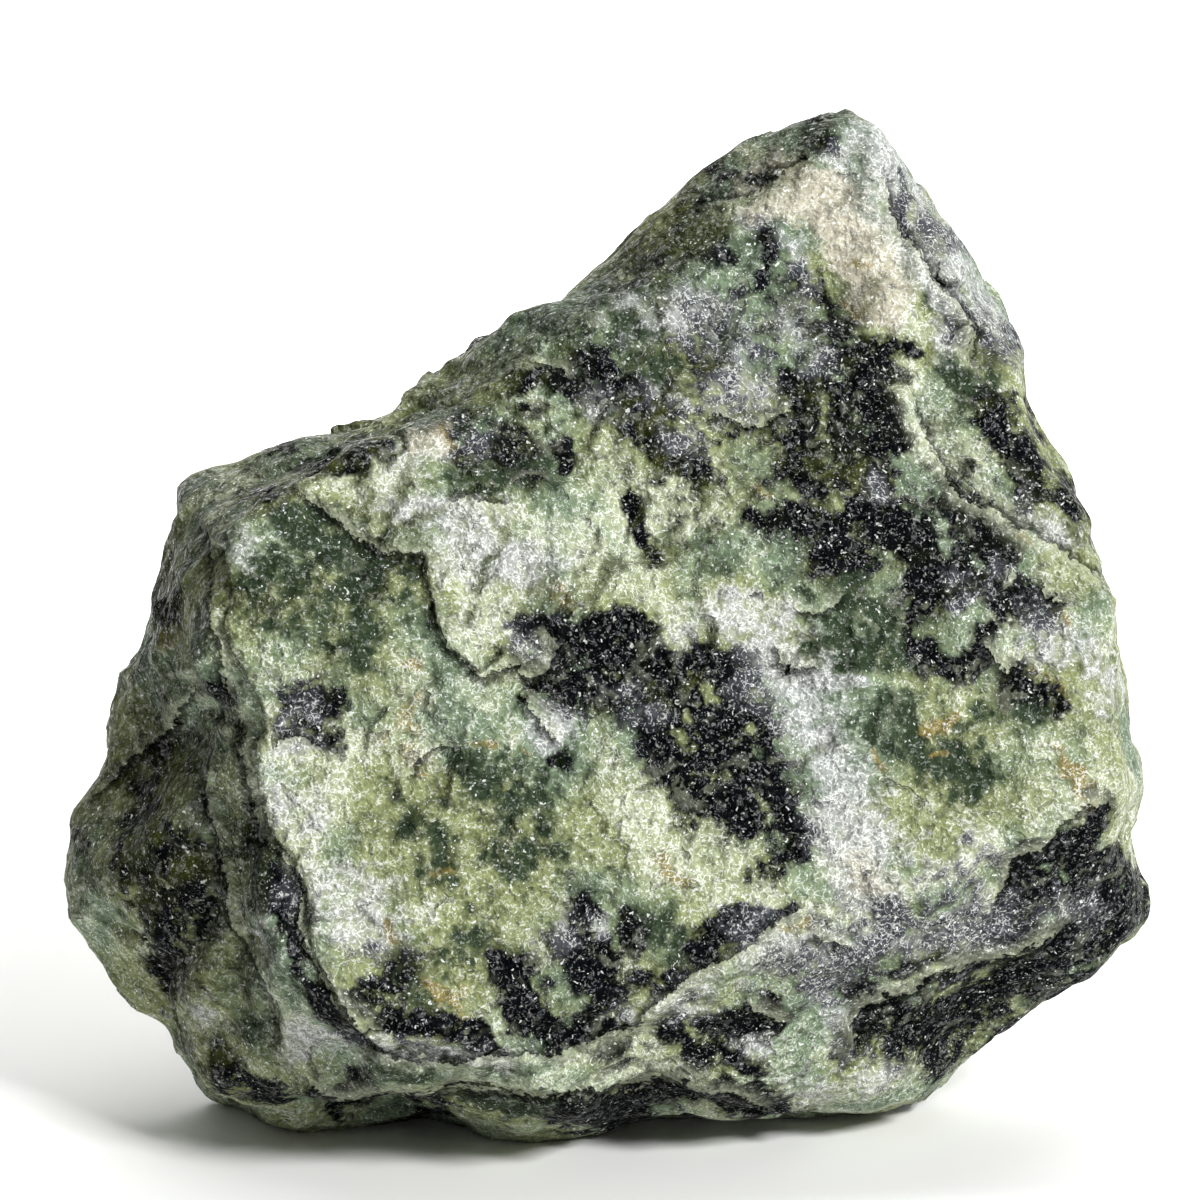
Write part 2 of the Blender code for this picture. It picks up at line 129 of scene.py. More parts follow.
# Steps where a layer of rock broke off. Each is a line on the near side as (right, up), how far the ground
# to the right of the line's travel drops, and how far the lower ground runs before it has risen again.
LEDGES = {
    "brow": (
        ((-71.0, 23.0), (-68.0, 17.5), (-66.5, 13.5), (-67.0, 9.5), (-66.5, 3.0), (-65.0, -4.5),
         (-61.0, -15.5), (-61.5, -20.0), (-59.5, -28.5), (-58.0, -33.5), (-53.0, -38.5), (-50.5, -43.0),
         (-51.0, -48.5), (-47.5, -55.5), (-45.0, -60.5), (-40.0, -66.0), (-35.0, -68.0)),
        4.2, 16.0,
    ),
    "second_step": (
        ((-66.0, -14.0), (-69.5, -25.0), (-66.5, -33.5), (-65.0, -42.0), (-64.0, -50.0), (-59.0, -57.0),
         (-56.0, -62.5), (-55.5, -73.0)),
        4.0, 11.0,
    ),
    "third_step": (
        ((-67.0, -42.0), (-70.0, -52.0), (-74.0, -58.5), (-75.0, -65.0), (-74.5, -76.0)),
        4.0, 8.0,
    ),
    "side_rib": (
        ((-97.0, -33.0), (-88.0, -26.0), (-80.0, -18.0), (-72.0, -11.0), (-67.0, -3.0)),
        4.0, 10.0,
    ),
    "front_flake": (
        ((-56.0, 29.0), (-45.0, 21.0), (-38.0, 15.0), (-31.0, 14.0), (-28.5, 6.0), (-26.5, -1.0),
         (-20.0, -5.5), (-8.0, -3.0)),
        1.8, 15.0,
    ),
    "sill_step": (
        ((30.0, -50.0), (16.0, -56.5), (7.0, -66.0), (-7.0, -71.0), (-24.0, -72.0), (-36.0, -71.0),
         (-46.0, -69.0)),
        2.6, 9.0,
    ),
    "foot_step": (
        ((-56.0, -74.0), (-46.0, -80.0), (-36.0, -79.0), (-14.0, -78.0), (-7.0, -79.5), (8.0, -76.5),
         (18.0, -74.0)),
        2.6, 9.0,
    ),
    "right_sill_step": (
        ((44.0, -74.0), (46.0, -64.0), (54.0, -62.5), (60.0, -58.5), (74.0, -55.0), (84.0, -48.0)),
        2.6, 11.0,
    ),
    "peak_lip": (
        ((41.0, 88.0), (34.0, 84.0), (30.0, 82.0), (26.0, 78.5), (20.0, 79.0), (14.0, 74.0)),
        3.0, 8.0,
    ),
    "peak_crevice": (
        ((66.0, 46.0), (65.5, 54.0), (63.0, 59.5), (58.5, 66.0), (54.0, 72.0), (51.5, 77.0), (50.0, 86.0)),
        2.8, 8.0,
    ),
    "right_brow": (
        ((92.0, 8.0), (80.0, 17.0), (72.0, 20.0), (65.0, 24.0), (59.0, 31.0), (53.0, 45.0)),
        3.0, 11.0,
    ),
}
LEDGE_FACE = 2.8  # how wide a ledge's own face is
LEDGE_JAG = 1.6  # how far a ledge strays from its line
LEDGE_FADE = 7.0  # how far from its ends a ledge dies out

# Roughness of the skin: (size, height) of the lumps and of the shell-shaped chips.
LUMPS = ((46.0, 3.4), (19.0, 1.8))
CHIPS = ((27.0, 4.0), (12.0, 1.9))
CHIP_MIDDLE = 0.33  # the height of a chip's bowl, as a share, that lies level with the skin
CALM_FRONT = 0.4  # the near face is smoother than the sides, by this share
RIM_KEEP = 0.35  # share of the roughness that is left at the rim, so that the outline stays as drawn

# Finer roughness than the solid's: (size, height) of lumps, chips and tilted facets.
FINE_LUMPS = ((8.0, 0.5), (3.6, 0.35))
FINE_CHIPS = ((6.5, 0.5),)
FINE_FACETS = ((16.0, 1.6), (7.0, 0.7))

# Edges of thin flakes, each a line that is walked with the lower ground on the right, as (right, up).
EDGES = {
    "inner_flake": ((-48.0, 23.0), (-45.5, 21.0), (-43.0, 18.5), (-41.0, 16.0), (-39.5, 15.5)),
    "round_flake": ((-16.0, -6.5), (-12.5, -6.0), (-9.5, -5.0), (-8.0, -1.0), (-9.5, 3.5)),
    "pale_leaf": ((30.0, 0.5), (31.0, -2.0), (33.0, -4.5), (35.0, -5.0), (37.5, -5.5), (39.0, -6.0)),
    "leaf_above": ((32.5, 6.5), (36.0, 5.0), (38.0, 5.0), (40.0, 6.5), (43.0, 9.0)),
    "grey_chip": ((-14.5, -7.0), (-11.0, -12.0), (-9.5, -16.0), (-7.0, -18.5)),
    "white_chip": ((-47.0, -20.0), (-48.5, -18.0), (-51.5, -16.5), (-54.0, -16.5), (-57.0, -19.0)),
    "foot_crevice": ((-47.0, -58.0), (-44.5, -63.0), (-41.0, -65.5), (-38.0, -67.5)),
    "sill_lip": ((-29.0, -78.5), (-21.5, -76.0), (-18.0, -77.0), (-12.5, -78.0), (-7.0, -78.5), (0.0, -79.0)),
    "arch_lip": ((2.5, -80.5), (7.0, -78.5), (10.5, -76.5), (13.5, -77.0), (18.0, -79.0), (24.5, -79.5),
                 (28.0, -82.0), (30.5, -83.5)),
    "grey_shelf": ((47.0, -61.0), (49.5, -61.0), (52.0, -62.0), (55.0, -62.0), (56.5, -59.5), (59.5, -58.5),
                   (62.0, -57.0), (67.5, -56.0), (70.0, -55.0), (73.0, -55.0)),
    "shelf_chip": ((36.0, -49.5), (38.5, -52.0), (41.5, -54.0), (45.0, -54.0)),
    "low_shelf": ((24.5, -63.0), (28.0, -64.0), (31.0, -66.0), (33.5, -67.5)),
    "rust_lip": ((36.0, -45.5), (31.5, -47.5), (28.0, -49.5), (25.5, -51.5)),
    "peak_rim": ((38.5, 86.0), (36.0, 85.5), (33.5, 84.5), (30.0, 83.0), (29.0, 80.5), (26.0, 78.5),
                 (23.5, 78.5), (20.0, 79.5), (16.0, 79.0)),
    "brow_chip": ((-13.5, 48.0), (-10.0, 48.0), (-7.0, 47.0), (-5.0, 45.0)),
    "grey_plate": ((18.0, 38.5), (21.5, 39.0), (25.0, 38.0), (29.5, 38.0), (32.5, 39.5), (33.5, 43.0)),
    "bright_tooth": ((69.0, 9.0), (72.0, 9.0), (73.0, 11.5), (74.0, 13.0)),
    "lime_tooth": ((75.5, 11.5), (77.5, 7.5), (80.0, 7.5), (80.5, 10.0)),
    "pale_nub": ((65.0, 0.0), (67.5, -2.5), (70.0, -5.0), (72.5, -4.0), (73.5, -1.0)),
    "right_crest": ((68.5, -47.5), (70.0, -43.0), (72.0, -38.0), (77.5, -36.0), (80.0, -31.5), (84.5, -29.0),
                    (90.0, -28.5)),
    "dark_dish": ((-33.0, -25.0), (-31.5, -20.5), (-29.0, -18.0), (-23.5, -18.5)),
    "white_plate": ((-14.5, 24.0), (-18.0, 24.0), (-21.5, 24.5), (-27.0, 25.0)),
}
EDGE_FADE = 2.5  # how far from its ends a flake's edge dies out
EDGE_REACH = 5.0  # how far from an edge it still counts

STRAY_WIDE = 3.2  # how far the borders of the mineral patches stray, in wide swings
STRAY_TIGHT = 1.8  # and in tight ones

# Small knobs that stand out of the skin: (right, up), radius and height.
KNOBS = (
    ((62.0, 53.5), 4.5, 1.8), ((-66.5, -76.5), 4.0, 1.8), ((-7.0, -51.5), 3.2, 1.0), ((0.0, -49.0), 2.8, 1.0),
)

# Patches of mineral. Each is the points of a line on the sheet as (right, up), the line's half width, and its
# strength: 1 is solid, and 0.3 is a peppering of single crystals.
BLACK = (
    # The heart of the front, which runs down to the right.
    (((-9.0, 1.5), (-3.0, 0.0), (3.0, 2.0), (8.0, 1.5)), 4.4, 1.0),
    (((-10.0, -5.0), (-2.0, -8.0), (6.0, -10.0)), 4.6, 1.0),
    (((12.0, -2.0), (18.0, -4.0), (25.0, -6.0)), 3.2, 0.9),
    (((2.0, -3.0), (10.0, -7.0), (16.0, -12.0), (20.0, -14.0), (24.0, -12.0)), 4.4, 1.0),
    (((9.0, -17.0), (14.0, -22.0), (18.0, -27.0), (24.0, -29.0)), 5.0, 1.0),
    (((20.0, -18.0), (27.0, -22.0), (32.0, -27.0), (34.0, -32.0)), 3.6, 0.7),
    (((34.0, -32.0), (33.0, -36.0), (30.0, -39.0)), 3.0, 0.7),
    (((20.0, -20.0), (25.0, -17.0)), 4.0, 0.6),
    # The column under the peak, and the dark ground to the right of it.
    (((27.0, 71.5), (30.0, 70.0), (28.0, 65.0)), 2.4, 0.95),
    (((34.0, 64.0), (38.0, 60.0), (41.0, 54.0), (40.0, 50.0)), 3.0, 0.55),
    (((53.0, 51.5), (56.0, 50.0)), 2.0, 1.0),
    (((44.0, 50.0), (50.0, 50.0)), 3.0, 0.5),
    (((34.0, 46.0), (36.0, 40.0), (33.0, 34.0), (36.0, 28.0)), 3.0, 0.8),
    (((46.0, 46.0), (50.0, 40.0), (52.0, 36.0)), 3.6, 0.8),
    (((48.0, 34.0), (48.0, 28.0), (46.0, 24.0)), 2.8, 0.85),
    (((38.0, 36.0), (43.0, 32.0)), 5.0, 0.3),
    (((26.0, 22.0), (33.0, 21.0)), 1.8, 0.7),
    (((24.0, 48.0), (22.0, 42.0)), 4.0, 0.1),
    (((35.0, 22.0), (39.0, 19.0), (40.0, 14.0), (45.0, 12.0)), 3.6, 0.85),
    (((47.0, 22.0), (53.0, 18.0), (56.0, 12.0), (57.0, 7.0)), 4.8, 1.0),
    (((42.0, 43.0), (44.0, 37.0)), 3.5, 0.6),
    (((60.0, 24.0), (64.0, 20.0), (70.0, 14.0)), 4.0, 0.6),
    (((62.0, 12.0), (66.0, 8.0), (70.0, 5.0)), 3.5, 0.7),
    (((70.0, 38.0), (73.0, 34.0), (75.0, 29.0)), 4.2, 0.95),
    (((82.0, 27.0), (86.0, 25.0), (88.0, 21.0)), 2.4, 0.85),
    (((72.0, 9.0), (76.0, 5.0)), 2.6, 0.7),
    (((56.0, 0.0), (60.0, -4.0), (65.0, -5.0), (67.0, -1.0)), 2.4, 0.65),
    (((72.0, -6.0), (76.0, -9.0), (78.0, -12.0)), 3.0, 0.6),
    (((52.0, 82.0), (53.0, 76.0), (56.0, 70.0)), 1.6, 0.8),
    (((59.0, 77.0), (63.0, 69.0)), 2.0, 0.4),
    (((66.0, 56.0), (72.0, 52.0), (75.0, 54.0)), 3.0, 0.5),
    (((38.0, 94.0), (41.0, 90.0)), 2.2, 0.8),
    (((27.0, 81.5), (30.0, 81.0)), 1.8, 0.8),
    (((18.0, 86.0), (21.0, 83.0)), 1.6, 0.6),
    (((15.0, 76.0), (19.0, 74.0)), 1.8, 0.6),
    (((17.0, 69.0), (21.0, 68.0)), 1.6, 0.6),
    (((8.0, 68.0), (14.0, 72.0)), 3.0, 0.3),
    # The upper left.
    (((-51.0, 31.0), (-38.0, 32.5)), 2.4, 0.8),
    (((-63.0, 26.5), (-56.0, 25.5)), 1.6, 0.6),
    (((-61.0, 33.5), (-56.5, 33.5)), 0.9, 0.6),
    (((-22.0, 37.0), (-14.0, 34.5)), 3.2, 0.35),
    (((-17.0, 34.5), (-14.5, 34.5)), 1.6, 0.8),
    (((-5.5, 34.0), (-5.0, 32.0)), 1.8, 1.0),
    (((-14.5, 45.5), (-9.0, 46.0), (-4.5, 44.0)), 2.2, 0.9),
    (((-1.0, 46.0), (5.0, 42.0), (9.0, 37.0)), 4.0, 0.6),
    (((8.0, 36.0), (14.0, 33.5), (16.0, 31.0)), 3.0, 0.6),
    (((4.0, 22.5), (5.5, 19.0), (9.0, 15.0)), 1.8, 0.9),
    (((-54.5, -11.0), (-50.0, -11.5), (-45.5, -9.5)), 2.2, 0.45),
    (((-51.0, -14.5), (-47.0, -16.5), (-45.0, -17.5)), 2.2, 0.6),
    (((-6.0, -19.0), (-5.0, -21.0)), 1.2, 0.5),
    # The foot of the front.
    (((-49.0, -58.0), (-47.0, -64.0), (-42.0, -67.5)), 2.6, 0.9),
    (((-44.0, -59.0), (-37.0, -58.0), (-33.0, -56.0)), 3.0, 0.5),
    (((-37.0, -64.0), (-31.0, -64.0), (-27.0, -64.5)), 2.4, 0.75),
    (((-18.0, -55.0), (-14.0, -60.0), (-8.0, -66.0), (-3.0, -69.0)), 3.2, 0.8),
    (((-22.0, -66.0), (-20.0, -68.5)), 2.0, 0.9),
    (((-5.0, -54.0), (0.0, -57.0), (3.0, -62.0)), 4.4, 0.8),
    (((-2.0, -66.0), (2.0, -69.0)), 4.5, 0.8),
    (((-4.0, -42.0), (-2.0, -47.0), (-4.0, -50.0)), 1.8, 0.8),
    (((5.0, -47.0), (7.0, -53.0)), 2.2, 0.5),
    (((8.0, -60.0), (14.0, -57.0)), 2.2, 0.6),
    (((18.0, -53.0), (22.0, -50.0), (26.0, -49.0)), 2.6, 0.9),
    (((28.0, -47.5), (32.0, -47.0)), 1.2, 0.7),
    (((13.0, -66.0), (16.0, -71.0), (20.0, -70.0)), 3.0, 0.75),
    (((18.0, -64.0), (25.0, -65.5), (30.0, -67.0)), 2.6, 0.85),
    (((22.0, -70.0), (26.0, -74.0)), 2.0, 0.6),
    (((-7.0, -83.0), (4.0, -83.0), (10.0, -79.0), (20.0, -79.5), (32.0, -83.0)), 3.6, 0.95),
    (((-67.0, -75.0), (-66.0, -78.0)), 2.6, 0.9),
    (((-62.0, -79.0), (-57.0, -80.0)), 2.0, 0.6),
    (((-51.0, -78.0), (-45.0, -79.0), (-40.0, -77.0)), 2.6, 0.7),
    (((-48.0, -83.0), (-42.0, -82.0)), 1.8, 0.8),
    (((-36.0, -84.0), (-28.0, -84.5)), 1.6, 0.7),
    (((-33.0, -79.0), (-26.0, -80.0)), 2.0, 0.5),
    (((54.0, -70.0), (62.0, -75.0)), 3.0, 0.4),
    # The lower right, under the crest.
    (((46.0, -62.0), (46.0, -70.0)), 3.4, 0.85),
    (((52.0, -66.0), (60.0, -70.0), (70.0, -66.0)), 4.0, 0.8),
    (((52.0, -58.5), (60.0, -57.0), (70.0, -55.5)), 1.8, 0.75),
    (((73.0, -38.0), (71.0, -46.0)), 2.6, 0.8),
    (((73.0, -37.5), (82.0, -34.0), (86.0, -30.0)), 2.6, 0.9),
    (((85.0, -38.0), (92.0, -41.0), (97.0, -47.0)), 3.0, 0.85),
    (((97.0, -48.0), (90.0, -53.0), (82.0, -56.0), (72.0, -60.0)), 4.5, 0.85),
    (((90.0, -60.0), (80.0, -66.0), (70.0, -73.0)), 3.0, 0.7),
    (((59.0, -64.0), (70.0, -62.0)), 3.5, 0.8),
    (((76.0, -42.0), (84.0, -44.0), (91.0, -48.0)), 4.5, 0.75),
    (((68.0, -50.0), (82.0, -51.5)), 4.0, 0.9),
    (((40.0, -56.0), (50.0, -55.0), (62.0, -51.0)), 5.0, 0.25),
    # The left side.
    (((-78.0, 12.0), (-76.0, 6.0)), 3.0, 0.6),
    (((-78.0, -19.0), (-74.0, -22.0)), 4.0, 0.6),
    (((-83.0, -33.0), (-82.0, -42.0)), 2.5, 0.8),
    (((-80.0, -36.0), (-74.0, -40.0), (-70.0, -44.0)), 4.5, 0.8),
    (((-78.0, -46.0), (-76.0, -52.0), (-76.0, -60.0)), 4.0, 0.9),
    (((-70.0, -42.0), (-68.0, -50.0)), 3.5, 0.5),
    (((-84.0, -24.0), (-80.0, -30.0)), 3.0, 0.7),
    (((-71.0, -36.0), (-67.0, -38.0)), 3.0, 0.7),
    (((-60.0, -33.0), (-56.0, -40.0), (-52.0, -46.0)), 3.2, 0.85),
    (((-66.0, -8.0), (-63.0, -11.0)), 1.8, 0.8),
    (((-54.0, -48.0), (-52.0, -55.0)), 1.6, 0.7),
    (((-96.0, -33.0), (-93.0, -36.0)), 2.0, 0.5),
)
FROST = (
    # Lilac grey down the peak's own ridge, and clouds beside the column.
    (((46.0, 92.0), (50.0, 84.0), (53.0, 76.0), (58.0, 66.0), (64.0, 60.0)), 3.6, 0.9),
    (((47.0, 94.0), (56.0, 82.0), (66.0, 64.0), (72.0, 52.0)), 5.0, 0.7),
    (((41.0, 88.0), (46.0, 81.0), (51.0, 71.0), (54.0, 63.0)), 4.0, 0.6),
    (((8.0, 68.0), (12.0, 66.0), (16.0, 72.0)), 3.5, 0.8),
    (((4.0, 60.0), (12.0, 58.0), (20.0, 56.0), (26.0, 50.0), (22.0, 44.0), (28.0, 42.0)), 5.0, 0.8),
    (((22.0, 76.0), (30.0, 74.0), (34.0, 70.0), (36.0, 62.0)), 3.0, 0.6),
    (((34.0, 56.0), (38.0, 50.0)), 3.5, 0.8),
    (((-1.0, 42.0), (2.0, 39.0)), 2.0, 0.7),
    (((13.0, 36.0), (17.0, 34.0)), 2.5, 0.6),
    (((9.0, 43.0), (15.0, 42.0)), 3.0, 0.7),
    (((46.0, 60.0), (49.0, 58.0)), 2.5, 0.8),
    (((62.0, 54.0), (62.0, 52.0)), 4.0, 0.7),
    (((47.0, 28.0), (49.0, 26.0)), 2.0, 0.6),
    (((-6.0, 58.0), (-3.0, 56.0)), 3.0, 0.6),
    (((-22.0, 37.0), (-19.0, 36.0)), 2.6, 0.6),
    # The pale flake on the front, and the veil to the right of the black heart.
    (((-36.0, 24.0), (-26.0, 22.0), (-20.0, 22.0)), 3.5, 0.6),
    (((-26.0, 18.0), (-18.0, 14.0), (-10.0, 12.0)), 5.5, 0.75),
    (((-12.0, 0.0), (-9.0, -2.0)), 2.6, 0.7),
    (((-9.0, -12.0), (-6.0, -15.0)), 2.8, 0.85),
    (((3.0, -10.0), (8.0, -13.0)), 3.0, 0.6),
    (((28.0, -3.0), (34.0, -8.0), (38.0, -16.0), (42.0, -26.0), (44.0, -36.0), (48.0, -43.0)), 6.5, 0.85),
    (((18.0, 3.0), (28.0, 2.0)), 5.0, 0.5),
    (((30.0, -2.0), (33.0, -5.0), (38.0, -8.0), (44.0, -8.0)), 1.6, 0.7),
    (((42.0, -32.0), (50.0, -34.0)), 4.0, 0.7),
    (((62.0, 10.0), (64.0, 6.0)), 2.5, 0.5),
    (((76.0, 3.0), (84.0, -2.0), (88.0, -8.0)), 4.0, 0.5),
    (((74.0, 26.0), (80.0, 20.0)), 3.0, 0.6),
    (((69.0, 11.0), (72.0, 10.0)), 2.0, 0.7),
    # The crest at the lower right, and the lilac grey below it.
    (((50.0, -38.0), (56.0, -42.0), (64.0, -40.0)), 3.0, 0.1),
    (((28.0, -52.0), (38.0, -54.0), (48.0, -52.0), (58.0, -52.0), (68.0, -48.0)), 6.0, 0.85),
    (((38.0, -60.0), (42.0, -68.0)), 4.0, 0.6),
    (((80.0, -46.0), (84.0, -48.0)), 3.0, 0.5),
    (((6.0, -64.0), (14.0, -62.0), (18.0, -60.0)), 3.5, 0.6),
    (((-1.0, -48.0), (0.0, -50.0)), 2.4, 0.9),
    (((-7.0, -50.0), (-7.0, -53.0)), 2.4, 0.7),
    (((25.0, -69.0), (28.0, -70.0)), 1.6, 0.8),
    (((38.0, -78.0), (50.0, -76.0)), 4.0, 0.5),
    # The left: pale flakes, the brow and the sill.
    (((-54.0, -13.0), (-49.0, -12.0)), 2.6, 0.6),
    (((-55.0, -18.0), (-50.0, -17.5), (-46.0, -19.0)), 1.6, 0.8),
    (((-58.0, -23.0), (-55.0, -30.0), (-50.0, -28.0)), 2.4, 0.3),
    (((-49.0, -43.0), (-42.0, -44.0), (-40.0, -50.0), (-36.0, -52.0)), 4.5, 0.5),
    (((-54.0, -70.0), (-46.0, -69.0), (-38.0, -70.0), (-28.0, -69.5), (-18.0, -72.0)), 2.6, 0.6),
    (((-70.0, 26.0), (-64.0, 22.0), (-62.0, 16.0)), 3.0, 0.5),
    (((-36.0, 33.0), (-30.0, 34.0)), 3.0, 0.5),
    (((-71.0, -26.0), (-69.0, -30.0)), 2.6, 0.5),
    (((-62.0, -46.0), (-58.0, -54.0)), 3.5, 0.5),
    (((-73.0, -66.0), (-68.0, -68.0)), 4.0, 0.5),
)
LIME = (
    (((51.0, 44.0), (56.0, 38.0), (60.0, 32.0), (66.0, 26.0), (72.0, 22.0)), 3.6, 0.9),
    (((72.0, 24.0), (78.0, 18.0), (84.0, 14.0), (89.0, 10.0)), 3.0, 0.4),
    (((79.0, 14.0), (80.0, 8.0)), 2.6, 0.3),
    (((-26.0, 14.0), (-24.0, 6.0), (-20.0, 0.0), (-14.0, 2.0)), 4.0, 0.7),
    (((-10.0, 20.0), (-2.0, 18.0), (4.0, 22.0)), 6.0, 0.5),
    (((8.0, 22.0), (16.0, 24.0), (18.0, 18.0)), 5.0, 0.5),
    (((5.0, 8.0), (14.0, 8.0), (22.0, 6.0)), 3.0, 0.5),
    (((-56.0, -26.0), (-48.0, -24.0), (-40.0, -22.0), (-34.0, -18.0)), 5.0, 0.6),
    (((-47.0, -42.0), (-42.0, -46.0), (-38.0, -50.0)), 4.5, 0.8),
    (((-70.0, 26.0), (-60.0, 27.0), (-50.0, 26.0), (-40.0, 28.0), (-30.0, 34.0)), 2.8, 0.7),
    (((6.0, -26.0), (12.0, -34.0), (20.0, -36.0), (24.0, -42.0)), 5.0, 0.6),
    (((36.0, -44.0), (44.0, -48.0), (52.0, -44.0)), 3.0, 0.6),
    (((36.0, -49.5), (48.0, -45.5), (58.0, -40.5), (68.0, -35.5)), 2.2, 1.0),
    (((78.0, -30.0), (86.0, -26.0), (94.0, -24.0)), 3.0, 0.6),
    (((96.0, -30.0), (97.0, -40.0), (98.0, -44.0)), 2.4, 0.6),
    (((6.0, -60.0), (2.0, -72.0), (12.0, -70.0)), 4.0, 0.6),
    (((30.0, -78.0), (40.0, -80.0), (52.0, -78.0)), 4.0, 0.5),
    (((66.0, -2.0), (70.0, 0.0)), 3.4, 0.8),
    (((54.0, 60.0), (58.0, 54.0)), 2.6, 0.6),
    (((50.0, 46.0), (55.0, 45.0)), 2.6, 0.7),
)
DEEP = (
    (((-58.0, 10.0), (-50.0, 6.0), (-44.0, 2.0), (-38.0, 8.0)), 7.0, 0.9),
    (((-50.0, 20.0), (-42.0, 16.0), (-36.0, 8.0)), 5.0, 0.8),
    (((-34.0, 12.0), (-30.0, 6.0), (-28.0, 0.0)), 4.0, 0.7),
    (((36.0, 10.0), (42.0, 6.0), (40.0, -2.0), (48.0, 0.0)), 6.0, 0.85),
    (((52.0, -14.0), (56.0, -20.0), (62.0, -24.0), (60.0, -18.0)), 5.5, 0.6),
    (((66.0, -14.0), (72.0, -12.0)), 3.5, 0.6),
    (((78.0, 18.0), (84.0, 10.0)), 5.0, 0.5),
    (((-22.0, -22.0), (-14.0, -26.0), (-16.0, -32.0), (-8.0, -32.0)), 5.0, 0.3),
    (((-34.0, -28.0), (-28.0, -34.0), (-30.0, -40.0)), 4.5, 0.6),
    (((-24.0, -52.0), (-30.0, -54.0), (-20.0, -50.0)), 4.0, 0.3),
    (((18.0, 14.0), (22.0, 12.0)), 4.0, 0.7),
    (((-24.0, 28.0), (-14.0, 30.0), (-8.0, 28.0)), 4.0, 0.6),
    (((-36.0, -73.0), (-26.0, -73.0), (-14.0, -74.0)), 2.2, 0.6),
    (((-20.0, -79.0), (-12.0, -80.0)), 3.0, 0.6),
    (((62.0, 48.0), (66.0, 46.0), (70.0, 40.0)), 3.0, 0.6),
    (((56.0, 68.0), (60.0, 60.0)), 2.4, 0.6),
    (((10.0, 56.0), (2.0, 54.0), (6.0, 50.0)), 5.0, 0.35),
    (((8.0, -50.0), (14.0, -50.0)), 4.0, 0.6),
)
CREAM = (
    (((29.0, 81.0), (38.0, 80.0), (42.0, 76.0), (46.0, 68.0), (49.0, 61.0)), 6.2, 1.0),
    (((-32.0, 34.0), (-27.0, 35.0)), 2.2, 0.7),
    (((45.0, -38.0), (50.0, -42.0)), 2.0, 0.2),
)
RUST = (
    (((-11.0, -16.0), (-10.0, -16.5)), 1.0, 0.9),
    (((56.0, 12.5), (58.0, 12.0)), 1.2, 0.9),
    (((47.0, 36.0), (50.0, 34.0)), 1.6, 0.9),
    (((47.5, 20.0), (49.0, 17.0)), 1.4, 0.9),
    (((57.0, -14.0), (61.0, -14.0)), 1.4, 0.9),
    (((57.0, -20.0), (60.0, -19.0)), 1.2, 0.8),
    (((47.5, -16.0), (50.0, -22.0)), 1.0, 0.7),
    (((75.0, -3.0), (79.0, -8.0), (81.0, -14.0)), 1.4, 0.8),
    (((80.0, -19.0), (83.0, -24.0), (85.0, -28.0)), 1.8, 0.7),
    (((32.0, -27.0), (33.0, -29.0)), 1.0, 0.9),
    (((-28.0, 35.0), (-25.5, 33.0)), 1.8, 0.9),
    (((-36.0, -50.0), (-33.0, -52.0)), 1.6, 0.9),
    (((-31.0, -57.0), (-27.0, -60.0), (-24.0, -62.0)), 1.6, 0.8),
    (((-24.0, -63.0), (-21.0, -67.0)), 1.4, 0.8),
    (((26.0, -48.5), (31.0, -50.0), (36.0, -49.5)), 1.8, 1.0),
    (((45.0, 67.0), (48.0, 66.0)), 1.8, 0.8),
    (((43.0, 60.0), (45.0, 57.0)), 1.6, 0.8),
    (((-34.0, -4.0), (-33.0, -4.5)), 1.4, 0.7),
    (((-33.0, -12.0), (-32.0, -20.0)), 2.4, 0.5),
    (((-22.0, -17.0), (-18.0, -17.0)), 1.4, 0.8),
    (((-28.0, -39.0), (-26.0, -40.0)), 1.6, 0.6),
    (((10.0, -37.0), (13.0, -40.0)), 1.6, 0.6),
    (((79.0, 6.0), (81.0, 5.0)), 1.4, 0.8),
    (((75.0, 18.0), (77.0, 17.0)), 1.4, 0.8),
    (((-7.0, 8.0), (-3.0, 5.0)), 1.8, 0.6),
    (((26.0, 28.0), (29.0, 26.0)), 1.2, 0.8),
    (((29.0, -80.0), (31.0, -82.0)), 1.4, 0.7),
    (((-76.0, -16.0), (-74.0, -19.0)), 2.0, 0.5),
    (((-75.0, 5.0), (-76.0, -1.0)), 1.4, 0.6),
)

# Each mineral's strokes, and how common it is on the sides that the sheet hides.
MINERALS = {
    "black": (BLACK, -0.35),
    "frost": (FROST, -0.25),
    "lime": (LIME, -0.45),
    "deep": (DEEP, -0.25),
    "cream": (CREAM, -1.3),
    "rust": (RUST, -1.1),
}

SHADED_WEATHER_SIDE = np.array((-0.78, 0.0, 0.62))  # the way that the weathered sides face, which are also painted darker as shade

# How each mineral's border is drawn: the levels between which the patch sets in, and how far the noises move
# its level. Lime and deep green are veils, so they set in slowly.
BORDERS = {
    "black": (-0.5, 0.25, 1.0),
    "frost": (-0.3, 0.7, 0.9),
    "lime": (-0.9, 0.8, -0.5),
    "deep": (-0.75, 0.8, -0.45),
    "cream": (-0.3, 0.4, 0.7),
    "rust": (0.0, 0.7, 1.0),
}

